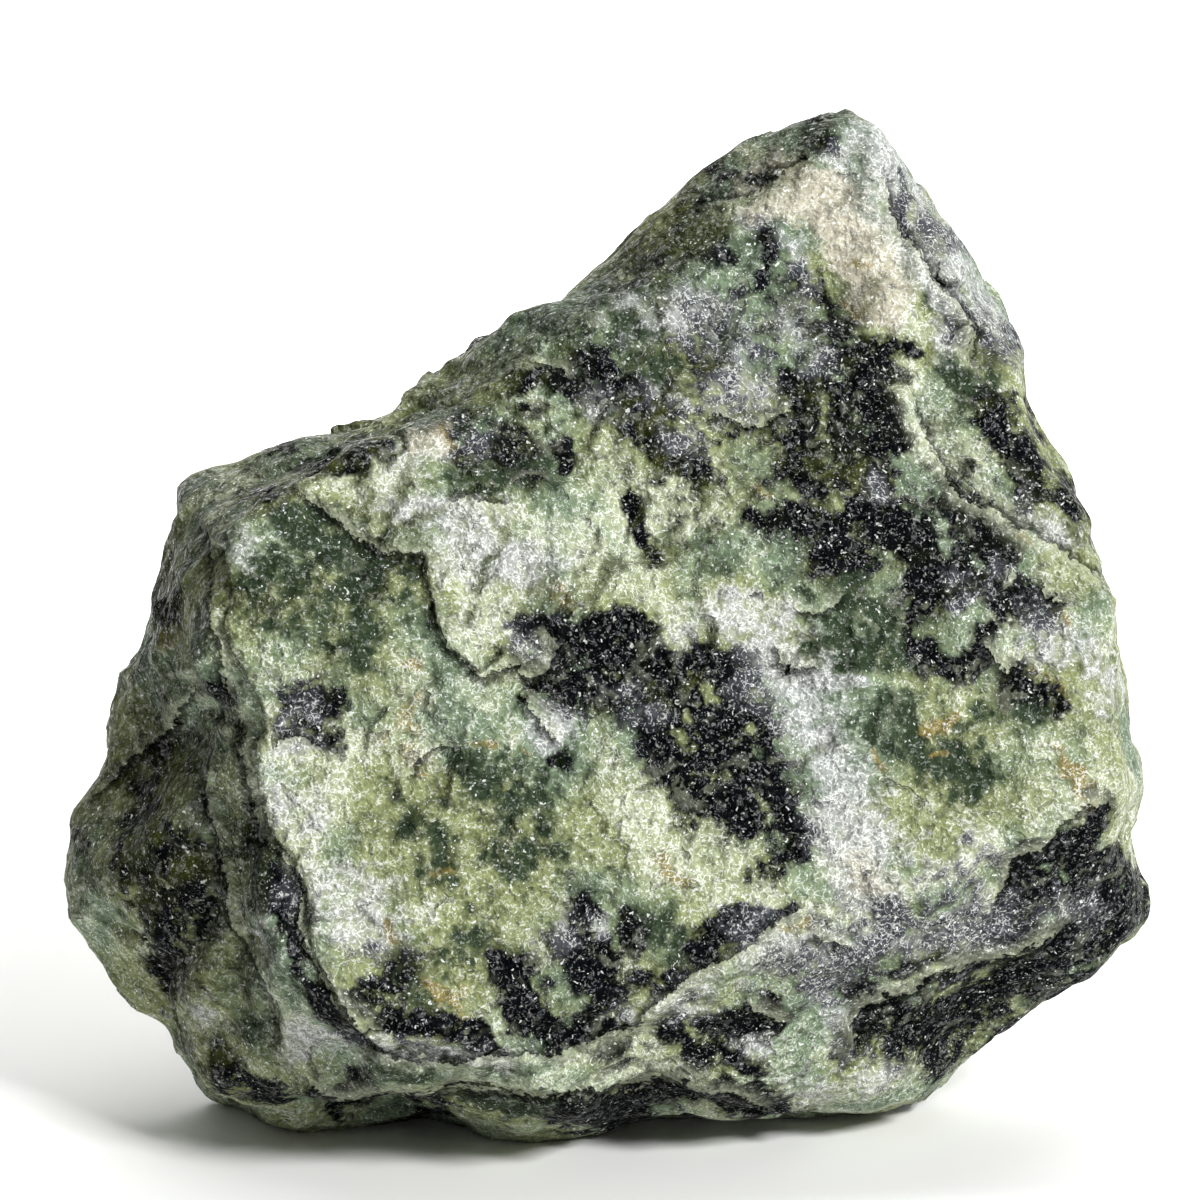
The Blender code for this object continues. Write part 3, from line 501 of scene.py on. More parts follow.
# The noises that the rock's patterns are made from: the size in millimetres, how many finer sizes are mixed
# in and how strongly, and how far aside the noise is read. Clouds of colour are about 6 to 24 mm, broken
# clumps 3.6 mm, and crystal grains 2 mm and finer. Real jade's threads are finer still than the curls here,
# which are drawn as coarse as they need to be to show.
NOISES = {
    "cloud": (13.0, 4.0, 0.6, 0.0),
    "hue": (24.0, 1.0, 0.6, 310.0),
    "tone": (6.0, 3.0, 0.6, 50.0),
    "clump": (3.6, 1.0, 0.6, 70.0),
    "grain": (2.0, 2.0, 0.6, 0.0),
    "sugar": (0.75, 1.0, 0.6, 90.0),
    "curl": (0.95, 0.0, 0.6, 0.0),
    "other_curl": (1.35, 0.0, 0.6, 120.0),
    "bed": (22.0, 2.0, 0.5, 200.0),
}
CRYSTAL_SIZE = 0.85  # how far apart the middles of crystals are
CRYSTAL_BEND = 1.6  # how far the noises bend the crystals' borders
CHANCE_WEIGHTS = (0.4, 0.6, 0.8)  # how much the chance flake edges' pale rims with their painted highlight, their painted shadows and their drops count
NEPHRITE_IOR = 1.61

# The rock's colours in sRGB, and the paper's.
MID_GREEN = "#72836a"
WARM_GREEN = "#868d62"
DARK_GREEN = "#303c2b"
PALE_GREEN = "#aab193"
VEIL_GREY = "#a3a5a5"
CREAM_WHITE = "#b5b09d"
RUST_BROWN = "#80703c"
COAL = "#030406"
BROKEN_COAL = "#12161b"
VEILED_COAL = "#55585e"
# The weathered sides' olives, which also stand in as painted shade there.
OLIVE = "#26321c"
WARM_OLIVE = "#4a4f22"
DARK_OLIVE = "#080b06"
# Bruised crystal on ridges, and the painted highlight on the rims of flake edges.
BRUISE_AND_HIGHLIGHT = "#b9bfa4"
# Painted shade in hollows and crevices.
HOLLOW_SHADE = "#11150d"
# White crystal, which on the dots is also a painted glint.
CRYSTAL_WHITE = "#f2f6f0"
EDGE_SHADOW = "#060805"
PAPER_WHITE = "#f3f3f1"

# A Map Range node runs smoothly from 0 to 1, or to its input 4, as its input 0 goes from input 1 to input 2.
SMOOTHLY = {"interpolation_type": "SMOOTHSTEP"}

# A Mix node's sockets when it mixes colours: its inputs for the lower and the upper one, and its output.
MIX_UNDER = 6
MIX_OVER = 7
MIX_COLOUR = 2

# The studio, in metres, watts and degrees. The paper lies from its front edge to its back, each measured
# from the stone, then bends up in a quarter circle of radius PAPER_BEND, and rises to PAPER_HEIGHT.
PAPER_FRONT = 1.6
PAPER_BACK = 0.9
PAPER_BEND = 0.5
PAPER_BEND_POINTS = 17
PAPER_HEIGHT = 2.4
PAPER_HALF_WIDTH = 2.4
KEY_AT = (1.0, -1.35, 1.2)
KEY_SIZE = 0.4
KEY_WATTS = 50.0
KEY_SPREAD = 180.0
PAPER_LIGHT_AT = (0.0, 0.7, 1.5)
PAPER_LIGHT_AIM = (0.0, 1.15, 0.1)
PAPER_LIGHT_SIZE = 1.4
PAPER_LIGHT_WATTS = 20.0
PAPER_LIGHT_SPREAD = 90.0
ROOM_STRENGTH = 0.16
CAMERA_DISTANCE = 1.0
PICTURE_WIDTH = 0.216  # how much of the sheet through the heart fills the picture
PICTURE_RISE = 0.0072  # how far the picture's middle lies above the heart, along the sheet


def unit(vectors):
    """Vectors scaled to length 1."""
    return vectors / np.linalg.norm(vectors, axis=-1, keepdims=True)


def smooth_step(low, high, value):
    """0 below low, 1 above high, and a smooth rise between them."""
    share = np.clip((value - low) / (high - low), 0.0, 1.0)
    return share * share * (3.0 - 2.0 * share)


def hashed(cells, table):
    """A number from 0 to 255 for each whole-numbered cell, by three turns through a shuffled table."""
    index = table[cells[:, 0] & 255]
    index = table[(index + cells[:, 1]) & 255]
    return table[(index + cells[:, 2]) & 255]


def lump_noise(points, size, seed):
    """Gradient noise, about -1 to 1, with lumps of that size. Each lattice corner has a random slope, and
    the slopes are faded into each other."""
    random = np.random.default_rng(seed)
    table = random.permutation(256)
    slopes = unit(random.normal(size=(256, 3)))
    scaled = points / size
    corner = np.floor(scaled).astype(int)
    inside = scaled - corner
    fade = inside**3 * (inside * (inside * 6.0 - 15.0) + 10.0)
    total = np.zeros(len(points))
    for step in np.ndindex(2, 2, 2):
        step = np.array(step)
        share = np.prod(np.where(step == 1, fade, 1.0 - fade), axis=1)
        slope = slopes[hashed(corner + step, table)]
        total += share * np.sum(slope * (inside - step), axis=1)
    return total * 1.6


def chip_noise(points, size, seed):
    """Shell-shaped chips of that size, 0 at the bottom of each bowl and about 1 on the crisp ridges between
    them: the squared distance to the nearest of a jittered lattice of points."""
    random = np.random.default_rng(seed)
    table = random.permutation(256)
    jitter = random.uniform(0.1, 0.9, size=(256, 3))
    scaled = points / size
    corner = np.floor(scaled).astype(int)
    nearest = np.full(len(points), 9.0)
    for step in np.ndindex(3, 3, 3):
        cell = corner + np.array(step) - 1
        centre = cell + jitter[hashed(cell, table)]
        nearest = np.minimum(nearest, np.sum((scaled - centre) ** 2, axis=1))
    return nearest


def facet_noise(points, size, seed):
    """Flat facets of that size with sharp steps between them, about -0.6 to 0.6: each point takes the
    nearest of a jittered lattice of middles, and the way from there is measured along that facet's slope."""
    random = np.random.default_rng(seed)
    table = random.permutation(256)
    jitter = random.uniform(0.1, 0.9, size=(256, 3))
    slopes = unit(random.normal(size=(256, 3)))
    scaled = points / size
    corner = np.floor(scaled).astype(int)
    nearest = np.full(len(points), 9.0)
    height = np.zeros(len(points))
    for step in np.ndindex(3, 3, 3):
        cell = corner + np.array(step) - 1
        number = hashed(cell, table)
        away = scaled - cell - jitter[number]
        apart = np.sum(away**2, axis=1)
        height = np.where(apart < nearest, np.sum(away * slopes[number], axis=1), height)
        nearest = np.minimum(nearest, apart)
    return height


def face_gauge(rays, points):
    """How many times over a ray of length 1 mm spans the way to the plane through three points."""
    first, second, third = (np.array(p) for p in points)
    normal = np.cross(second - first, third - first)
    offset = normal @ first
    return np.maximum(rays @ normal / offset, 0.0)


def belly_gauge(rays):
    """The same for the bellied body: a power sum of the way to the rim and the way to the belly's depth.
    Away from the sheet the rim sinks to a plainer line that runs inside the outline, but behind the foot it
    swells, so that the ground cuts a broad patch off it."""
    rim = np.array(OUTLINE)
    turns = np.arctan2(rim[:, 1], rim[:, 0])
    reaches = np.hypot(rim[:, 0], rim[:, 1])
    table = np.radians(np.arange(-180.0, 180.0))
    fine = np.interp(table, turns, reaches, period=2.0 * math.pi)
    near_by = np.arange(-RIM_SPREAD, RIM_SPREAD + 1)
    inner = np.min([np.roll(fine, step) for step in near_by], axis=0)
    inner = np.mean([np.roll(inner, step) for step in near_by], axis=0)
    turn = np.arctan2(rays[:, 1], rays[:, 0])
    rim_reach = np.interp(turn, table, inner, period=2.0 * math.pi)
    at_rim = np.exp(-((rays[:, 2] / RIM_DEPTH) ** 2))
    rim_reach += at_rim * (np.interp(turn, turns, reaches, period=2.0 * math.pi) - rim_reach)
    rim_reach += FOOT_FULLNESS * smooth_step(0.6, 0.85, -rays[:, 1]) * smooth_step(0.0, 0.2, -rays[:, 2])
    across = np.hypot(rays[:, 0], rays[:, 1]) / rim_reach
    depth = np.where(rays[:, 2] > 0.0, rays[:, 2] / NEAR_BELLY, -rays[:, 2] / FAR_BELLY)
    return (across**BELLY_POWER + depth**BELLY_POWER) ** (1.0 / BELLY_POWER)


def scarred(rays, reach):
    """The reach cut back to each scar's ball, where the ray meets the ball first."""
    for deepest, radius in SCARS.values():
        deepest = np.array(deepest)
        centre = deepest + radius * unit(deepest)
        along = rays @ centre
        inside = along**2 - centre @ centre + radius**2
        entry = np.where(inside > 0.0, along - np.sqrt(np.maximum(inside, 0.0)), reach + 9.0)
        entry = np.where(entry > 0.0, entry, reach + 9.0)
        blend = np.maximum(SCAR_LIP - np.abs(reach - entry), 0.0)
        reach = np.minimum(reach, entry) - blend**2 / (4.0 * SCAR_LIP)
    return reach


def beside(points, line, fade):
    """How far each point lies from a line, below 0 to the left of the line's travel, and a share that is 1
    along the line and falls to 0 at its ends."""
    line = np.array(line)
    place = points[:, :2]
    best = np.full(len(points), 1e9)
    side = np.zeros(len(points))
    travelled = np.zeros(len(points))
    start = 0.0
    for tail, head in zip(line[:-1], line[1:]):
        way = head - tail
        length = math.hypot(*way)
        share = np.clip((place - tail) @ way / length**2, 0.0, 1.0)
        apart = place - tail - share[:, None] * way
        distance = np.hypot(apart[:, 0], apart[:, 1])
        turn = (way[1] * (place[:, 0] - tail[0]) - way[0] * (place[:, 1] - tail[1])) / length
        level = np.abs(distance - best) < 1e-6
        closer = (distance < best - 1e-6) | (level & (np.abs(turn) > np.abs(side)))
        best = np.where(closer, distance, best)
        side = np.where(closer, turn, side)
        travelled = np.where(closer, start + share * length, travelled)
        start += length
    return best * np.sign(side), smooth_step(0.0, fade, travelled) * smooth_step(0.0, fade, start - travelled)


def ledge_drop(points, line, drop, run):
    """How far the ground drops beside a ledge: all of the drop just right of the line, none to its left,
    and less with distance from it and towards the line's ends."""
    signed, share = beside(points, line, LEDGE_FADE)
    signed = signed + LEDGE_JAG * lump_noise(points, 8.0, 51)
    step = smooth_step(-LEDGE_FACE / 2.0, LEDGE_FACE / 2.0, signed)
    return drop * step * np.exp(-np.maximum(signed, 0.0) / run) * share


def edge_fields(points):
    """How far each point lies past the nearest ledge or flake edge, in millimetres, above 0 on the low side,
    and how much that edge counts there, from 0 to 1."""
    lines = [(line, LEDGE_FADE) for line, _, _ in LEDGES.values()]
    lines += [(line, EDGE_FADE) for line in EDGES.values()]
    jag = LEDGE_JAG * lump_noise(points, 8.0, 51)
    side = np.full(len(points), 9.0)
    count = np.zeros(len(points))
    for line, fade in lines:
        signed, share = beside(points, line, fade)
        signed = signed + jag
        here = share * np.exp(-((signed / EDGE_REACH) ** 2))
        side = np.where(here > count, signed, side)
        count = np.maximum(count, here)
    return side, count * smooth_step(0.0, 8.0, points[:, 2])


def stone_reach(rays):
    """How far the skin is from the heart along each ray, in millimetres."""
    gauges = [belly_gauge(rays)]
    for hollow in FACES.values():
        gauges.append(np.min([face_gauge(rays, points) for points in hollow], axis=0))
    reach = np.sum(np.array(gauges) ** EDGE_POWER, axis=0) ** (-1.0 / EDGE_POWER)
    reach = scarred(rays, reach)
    near = smooth_step(0.0, 12.0, rays[:, 2] * reach)
    for line, drop, run in LEDGES.values():
        reach = reach - near * ledge_drop(rays * reach[:, None], line, drop, run)
    points = rays * reach[:, None]
    rough = RIM_KEEP + (1.0 - RIM_KEEP) * smooth_step(0.0, 22.0, np.abs(points[:, 2]))
    rough *= 1.0 - CALM_FRONT * smooth_step(0.35, 0.75, rays[:, 2])
    bent = points + 5.0 * np.stack([lump_noise(points, 21.0, s) for s in (11, 12, 13)], axis=1)
    for number, (size, height) in enumerate(LUMPS):
        reach = reach + rough * height * lump_noise(points, size, 21 + number)
    for number, (size, height) in enumerate(CHIPS):
        reach = reach + rough * height * (chip_noise(bent, size, 31 + number) - CHIP_MIDDLE)
    return reach


def to_upright(points):
    """Points of the sheet frame, from the heart, in the upright frame that stands on the ground."""
    right, up, near = points.T
    y = up * math.sin(LEAN) - near * math.cos(LEAN)
    z = up * math.cos(LEAN) + near * math.sin(LEAN) + HEART_HEIGHT
    return np.stack([right, y, z], axis=1)


def relaxed(mesh, points):
    """The points, each moved a share of the way to the middle of its neighbours, so none sticks out alone."""
    ends = np.empty(len(mesh.edges) * 2, dtype=int)
    mesh.edges.foreach_get("vertices", ends)
    near_end, far_end = ends.reshape(-1, 2).T
    here = np.concatenate([near_end, far_end])
    there = np.concatenate([far_end, near_end])
    count = np.bincount(here, minlength=len(points))
    sums = np.stack([np.bincount(here, points[there, axis], len(points)) for axis in range(3)], axis=1)
    return points + RELAX * (sums / count[:, None] - points)


def ray_sphere(mesh):
    """The corners of an evenly divided cube, as rays of length 1 that crowd a little to the near side."""
    corners = np.empty(len(mesh.vertices) * 3)
    mesh.vertices.foreach_get("co", corners)
    even = unit(np.tan(corners.reshape(-1, 3) * math.pi / 4.0))
    return unit(even * RAY_STRETCH + (0.0, 0.0, NEAR_CROWDING))


def divided_cube(name, cells):
    """A cube from -1 to 1 with each side divided into cells by cells squares."""
    shape = bmesh.new()
    bmesh.ops.create_cube(shape, size=2.0)
    bmesh.ops.subdivide_edges(shape, edges=shape.edges[:], cuts=cells - 1, use_grid_fill=True)
    mesh = bpy.data.meshes.new(name)
    shape.to_mesh(mesh)
    shape.free()
    return mesh


def with_fine_relief(rays, reach):
    """The reach plus the relief that the solid's own grid is too coarse for: knobs, which rise smoothly
    towards their middles, and fine lumps, chips and facets."""
    points = rays * reach[:, None]
    near = smooth_step(0.0, 8.0, points[:, 2])
    for (right, up), radius, height in KNOBS:
        apart = np.hypot(points[:, 0] - right, points[:, 1] - up)
        reach = reach + near * height * smooth_step(radius * 1.2, radius * 0.4, apart)
    bent = points + 1.5 * np.stack([lump_noise(points, 7.0, s) for s in (61, 62, 63)], axis=1)
    for number, (size, height) in enumerate(FINE_LUMPS):
        reach = reach + height * lump_noise(points, size, 71 + number)
    for number, (size, height) in enumerate(FINE_CHIPS):
        reach = reach + height * (chip_noise(bent, size, 81 + number) - CHIP_MIDDLE)
    for number, (size, height) in enumerate(FINE_FACETS):
        reach = reach + height * facet_noise(bent, size, 91 + number)
    return reach


def strayed(points):
    """The points, moved about by noise so that what is laid out with straight strokes gets ragged borders."""
    wide = np.stack([lump_noise(points, 12.0, seed) for seed in (121, 122, 123)], axis=1)
    tight = np.stack([lump_noise(points, 4.5, seed) for seed in (124, 125, 126)], axis=1)
    return points + STRAY_WIDE * wide + STRAY_TIGHT * tight


def stroke_field(points, strokes):
    """For each point, the most that any stroke gives it: the stroke's strength on its line, 0 at its half
    width, and less beyond."""
    place = points[:, :2]
    field = np.full(len(points), -1.0)
    for line, half_width, strength in strokes:
        line = np.array(line)
        nearest = np.full(len(points), 1e9)
        for tail, head in zip(line[:-1], line[1:]):
            way = head - tail
            share = np.clip((place - tail) @ way / (way @ way), 0.0, 1.0)
            nearest = np.minimum(nearest, np.linalg.norm(place - tail - share[:, None] * way, axis=1))
        field = np.maximum(field, strength * (1.0 - nearest / half_width))
    return field


def mineral_field(points, strokes, far_level, seed):
    """The strokes' field on the near side, and patches from a noise on the sides that the sheet hides."""
    drawn = stroke_field(points, strokes)
    wild = 1.5 * lump_noise(points, 30.0, seed) + 0.9 * lump_noise(points, 13.0, seed + 1) + far_level
    near = smooth_step(-8.0, 4.0, points[:, 2])
    return np.clip(wild + near * (drawn - wild), -1.0, 1.0)


def vertex_normals(mesh):
    """The way out of the mesh at each of its points, of length 1."""
    normals = np.empty(len(mesh.vertices) * 3)
    mesh.vertex_normals.foreach_get("vector", normals)
    return normals.reshape(-1, 3)


def cavity(mesh, points, rounds):
    """How deep each point lies in a hollow, in millimetres, and below 0 on a ridge: the way out along its
    normal to where the surface lies once it is relaxed that many times."""
    smooth = points
    for _ in range(rounds):
        smooth = relaxed(mesh, smooth)
    return np.sum((smooth - points) * vertex_normals(mesh), axis=1)


def store(mesh, name, values):
    """Keeps one number for each of the mesh's points, which the material reads by its name."""
    attribute = mesh.attributes.new(name, "FLOAT", "POINT")
    attribute.data.foreach_set("value", values.astype(np.float32))


def skin(collection):
    """The stone's skin: a finely divided cube whose corners are moved out along their rays to the reach of
    the CAD solid's formula plus the fine relief, with the mineral fields stored on its points."""
    mesh = divided_cube("jade_boulder", CELLS)
    rays = ray_sphere(mesh)
    reach = with_fine_relief(rays, stone_reach(rays))
    sheet_points = rays * reach[:, None]
    points = relaxed(mesh, relaxed(mesh, to_upright(sheet_points)))
    points[:, 2] = np.maximum(points[:, 2], 0.0)
    mesh.vertices.foreach_set("co", (points * MM).ravel())
    mesh.update()
    mesh.shade_smooth()
    ragged = strayed(sheet_points)
    for number, (name, (strokes, far_level)) in enumerate(MINERALS.items()):
        store(mesh, name, mineral_field(ragged, strokes, far_level, 101 + 2 * number))
    side, count = edge_fields(sheet_points)
    store(mesh, "edge_side", side)
    store(mesh, "edge_count", count)
    # Painted shade with weathering: how far each point faces the weathered way, for darkening its colour.
    store(mesh, "weathered_and_shaded", smooth_step(0.15, 0.55, vertex_normals(mesh) @ SHADED_WEATHER_SIDE))
    store(mesh, "hollow", cavity(mesh, points, 4))
    store(mesh, "crevice", cavity(mesh, points, 24))
    stone = bpy.data.objects.new("jade_boulder", mesh)
    collection.objects.link(stone)
    return stone


def linear(hex_colour):
    """An sRGB hex colour as linear red, green, blue and alpha."""
    channels = [int(hex_colour[i:i + 2], 16) / 255.0 for i in (1, 3, 5)]
    return tuple(c / 12.92 if c <= 0.04045 else ((c + 0.055) / 1.055) ** 2.4 for c in channels) + (1.0,)


def node(tree, kind, inputs, output=0, **settings):
    """Adds a node of a kind, named as Blender does but without ShaderNode, and gives one of its outputs, if
    it has any. Inputs are values, or outputs to link, by socket name or number or simply in order. Settings
    are the node's own properties."""
    made = tree.nodes.new("ShaderNode" + kind)
    for name, value in settings.items():
        setattr(made, name, value)
    for name, value in inputs.items() if isinstance(inputs, dict) else enumerate(inputs):
        if isinstance(value, bpy.types.NodeSocket):
            tree.links.new(value, made.inputs[name])
        else:
            made.inputs[name].default_value = value
    return made.outputs[output] if len(made.outputs) else None


def weighted_sum(tree, *terms):
    """The sum of weight times (value - middle), over terms that are given as (value, weight, middle)."""
    total = -sum(weight * middle for value, weight, middle in terms)
    for value, weight, middle in terms:
        total = node(tree, "Math", (value, weight, total), operation="MULTIPLY_ADD")
    return total


def layered(tree, colour, *layers):
    """A colour with others laid over it in turn. Each layer is given as (share, strength, colour), and covers
    what lies under it by share times strength."""
    for share, strength, over in layers:
        if strength < 1.0:
            share = node(tree, "Math", (share, strength), operation="MULTIPLY")
        inputs = {"Factor": share, MIX_UNDER: colour, MIX_OVER: over}
        colour = node(tree, "Mix", inputs, MIX_COLOUR, data_type="RGBA")
    return colour


def rock_noises(tree, place):
    """The rock's noises by name. Each is read as far aside as its row says, so that noises of nearly one size
    don't rise and fall in the same places."""
    noise = {}
    for name, (size, detail, roughness, aside) in NOISES.items():
        moved = node(tree, "VectorMath", (place, (aside * MM, 0.0, 0.0)), operation="ADD")
        inputs = {"Vector": moved, "Scale": 1.0 / (size * MM), "Detail": detail, "Roughness": roughness}
        noise[name] = node(tree, "TexNoise", inputs, "Fac")
    return noise


def rock_crystals(tree, place, noise):
    """The crystals, as the cells round jittered points, bent by the finest noises: the three random numbers
    of each crystal, as sockets, and how far each point lies from its crystal's middle."""
    bend = node(tree, "CombineXYZ", (noise["curl"], noise["other_curl"], noise["sugar"]))
    bend = node(tree, "VectorMath", {0: bend, "Scale": CRYSTAL_BEND * MM}, operation="SCALE")
    bent = node(tree, "VectorMath", (bend, place), operation="ADD")
    middle_far = node(tree, "TexVoronoi", {"Vector": bent, "Scale": 1.0 / (CRYSTAL_SIZE * MM)})
    numbers = node(tree, "SeparateColor", {"Color": middle_far.node.outputs["Color"]})
    return numbers.node.outputs, middle_far


def rock_patches(tree, noise, field, lit_and_unweathered):
    """How much each mineral covers: its field on the skin plus a wander of clouds, clumps, grain and sugar,
    through a soft rise. The grey veil is thinner where the rock is weathered, and there it is also dimmed
    as painted shade."""
    wander = weighted_sum(tree, (noise["cloud"], 1.6, 0.5), (noise["clump"], 1.6, 0.5),
                          (noise["grain"], 1.4, 0.5), (noise["sugar"], 0.8, 0.5))
    patch = {}
    for name, (low, high, reach) in BORDERS.items():
        level = node(tree, "Math", (wander, reach, field[name]), operation="MULTIPLY_ADD")
        patch[name] = node(tree, "MapRange", (level, low, high), **SMOOTHLY)
    patch["frost"] = node(tree, "Math", (patch["frost"], lit_and_unweathered), operation="MULTIPLY")
    return patch


def ground_colour(tree, noise, patch, weathered_and_shaded, paleness):
    """The colour between the white threads: green from deep to pale in soft clouds, the other minerals over
    it, and over them all the olive of the weathered sides, which also stands in as painted shade there."""
    cloud, grain, tone = noise["cloud"], noise["grain"], noise["tone"]
    warm = weighted_sum(tree, (noise["hue"], 1.0, 0.0), (tone, 0.25, 0.5))
    warm = node(tree, "MapRange", (warm, 0.38, 0.62), **SMOOTHLY)
    lit = node(tree, "MapRange", (paleness, -0.1, 0.45), **SMOOTHLY)
    pale = node(tree, "MapRange", (paleness, 0.45, 1.0), **SMOOTHLY)
    green = layered(tree, linear(MID_GREEN), (warm, 1.0, linear(WARM_GREEN)))
    green = layered(tree, linear(DARK_GREEN), (lit, 1.0, green))
    green = layered(
        tree, green,
        (pale, 1.0, linear(PALE_GREEN)),
        (patch["frost"], 0.85, linear(VEIL_GREY)),
        (patch["cream"], 1.0, linear(CREAM_WHITE)),
        (patch["rust"], 0.8, linear(RUST_BROWN)),
    )
    broken = node(tree, "MapRange", (grain, 0.45, 0.75), **SMOOTHLY)
    coal = layered(
        tree, linear(COAL),
        (broken, 1.0, linear(BROKEN_COAL)),
        (patch["frost"], 0.65, linear(VEILED_COAL)),
    )
    clear = weighted_sum(tree, (cloud, 1.0, 0.0), (tone, 0.5, 0.5))
    clear = node(tree, "MapRange", (clear, 0.42, 0.6), **SMOOTHLY)
    # The olive is the weathered skin's colour and also painted shade on those sides.
    olive = layered(tree, linear(OLIVE), (warm, 1.0, linear(WARM_OLIVE)))
    olive = layered(tree, linear(DARK_OLIVE), (clear, 1.0, olive))
    return layered(tree, green, (patch["black"], 1.0, coal), (weathered_and_shaded, 0.65, olive))


def flake_edge(tree, side, count, ragged):
    """A flake edge's pale rim, bruised crystal with a painted highlight, its painted shadow and its drop,
    each from 0 to the count. The side is the way past the edge in millimetres, above 0 on the low ground,
    and the ragged noise makes the edge jagged."""
    side = node(tree, "Math", (side, ragged), operation="ADD")
    below = node(tree, "MapRange", (side, -0.2, 0.2), **SMOOTHLY)
    drop = node(tree, "Math", (below, count), operation="MULTIPLY")
    above = node(tree, "Math", (count, drop), operation="SUBTRACT")
    towards = node(tree, "MapRange", (side, -4.0, 0.5), **SMOOTHLY)
    rim = node(tree, "Math", (above, towards), operation="MULTIPLY")
    close_by = node(tree, "MapRange", (side, 2.4, 0.2), **SMOOTHLY)
    shadow = node(tree, "Math", (drop, close_by), operation="MULTIPLY")
    return rim, shadow, drop


def flake_edges(tree, noise, field):
    """The pale rims, partly painted highlight, the painted shadows and the drops of the edges that are laid
    out on the skin, and of chance ones, which run where a wide noise, as beds in the rock, is at its middle."""
    ragged = weighted_sum(tree, (noise["grain"], 3.0, 0.5), (noise["sugar"], 1.6, 0.5))
    laid = flake_edge(tree, field["edge_side"], field["edge_count"], ragged)
    side = weighted_sum(tree, (noise["bed"], 48.0, 0.5))
    away = node(tree, "Math", (side,), operation="ABSOLUTE")
    close_by = node(tree, "MapRange", (away, 4.0, 1.0), **SMOOTHLY)
    in_clumps = node(tree, "MapRange", (noise["clump"], 0.5, 0.6), **SMOOTHLY)
    chance = node(tree, "Math", (close_by, in_clumps), operation="MULTIPLY")
    found = flake_edge(tree, side, chance, ragged)
    return [
        node(tree, "Math", (by_chance, weight, drawn), operation="MULTIPLY_ADD")
        for drawn, by_chance, weight in zip(laid, found, CHANCE_WEIGHTS)
    ]


def thread(tree, curl, sugar, half_width, present):
    """White threads along the curves where a fine noise, made rough by the sugar noise, is at its middle:
    1 on the curve and 0 at the half width from it, where they are present."""
    away = weighted_sum(tree, (curl, 1.0, 0.5), (sugar, 0.35, 0.5))
    away = node(tree, "Math", (away,), operation="ABSOLUTE")
    away = node(tree, "Math", (away, half_width), operation="DIVIDE")
    curve = node(tree, "MapRange", (away, 1.0, 0.3), **SMOOTHLY)
    return node(tree, "Math", (curve, present), operation="MULTIPLY")


def white_grain(tree, noise, numbers, middle_far, patch, paleness, lit_and_unweathered):
    """How white each point is, from broken crystal: threads and flecks, and dots in the middles of some
    crystals, which also stand in as painted glints. All are stronger where the ground is pale or veiled, and
    weaker on the black."""
    black, frost, sugar = patch["black"], patch["frost"], noise["sugar"]
    not_black = node(tree, "Math", (1.0, black), operation="SUBTRACT")
    pale = node(tree, "MapRange", (paleness, -0.1, 1.0), **SMOOTHLY)
    pale = node(tree, "Math", (pale, not_black), operation="MULTIPLY")
    veiled = node(tree, "Math", (black, -0.35, 1.0), operation="MULTIPLY_ADD")
    veiled = node(tree, "Math", (frost, veiled), operation="MULTIPLY")
    light = node(tree, "Math", (pale, veiled), operation="MAXIMUM")
    # Painted shade: the white grain is dimmer on the weathered sides.
    light = node(tree, "Math", (light, lit_and_unweathered), operation="MULTIPLY")

    half_width = node(tree, "Math", (light, 0.03, 0.04), operation="MULTIPLY_ADD")
    more = node(tree, "Math", (light, 0.12, -0.07), operation="MULTIPLY_ADD")
    in_grain = node(tree, "Math", (noise["grain"], more), operation="ADD")
    in_sugar = node(tree, "Math", (sugar, more), operation="SUBTRACT")
    in_grain = node(tree, "MapRange", (in_grain, 0.5, 0.56), **SMOOTHLY)
    in_sugar = node(tree, "MapRange", (in_sugar, 0.52, 0.46), **SMOOTHLY)
    first = thread(tree, noise["curl"], sugar, half_width, in_grain)
    second = thread(tree, noise["other_curl"], sugar, half_width, in_sugar)
    threads = node(tree, "Math", (first, second), operation="MAXIMUM")
    flecks = node(tree, "MapRange", (sugar, 0.62, 0.7), **SMOOTHLY)
    white = node(tree, "Math", (threads, flecks), operation="MAXIMUM")
    strength = node(tree, "Math", (light, 0.45, 0.15), operation="MULTIPLY_ADD")
    white = node(tree, "Math", (white, strength), operation="MULTIPLY")

    # White crystal dots that also stand in as painted glints.
    chosen = node(tree, "Math", (frost, 0.1, numbers["Green"]), operation="MULTIPLY_ADD")
    chosen = node(tree, "MapRange", (chosen, 0.78, 0.86), **SMOOTHLY)
    middles = node(tree, "MapRange", (middle_far, 0.32, 0.2), **SMOOTHLY)
    dots_and_glints = node(tree, "Math", (chosen, middles), operation="MULTIPLY")
    strength = node(tree, "Math", (light, 0.3, 0.6), operation="MULTIPLY_ADD")
    dots_and_glints = node(tree, "Math", (dots_and_glints, strength), operation="MULTIPLY")
    return node(tree, "Math", (white, dots_and_glints), operation="MAXIMUM")


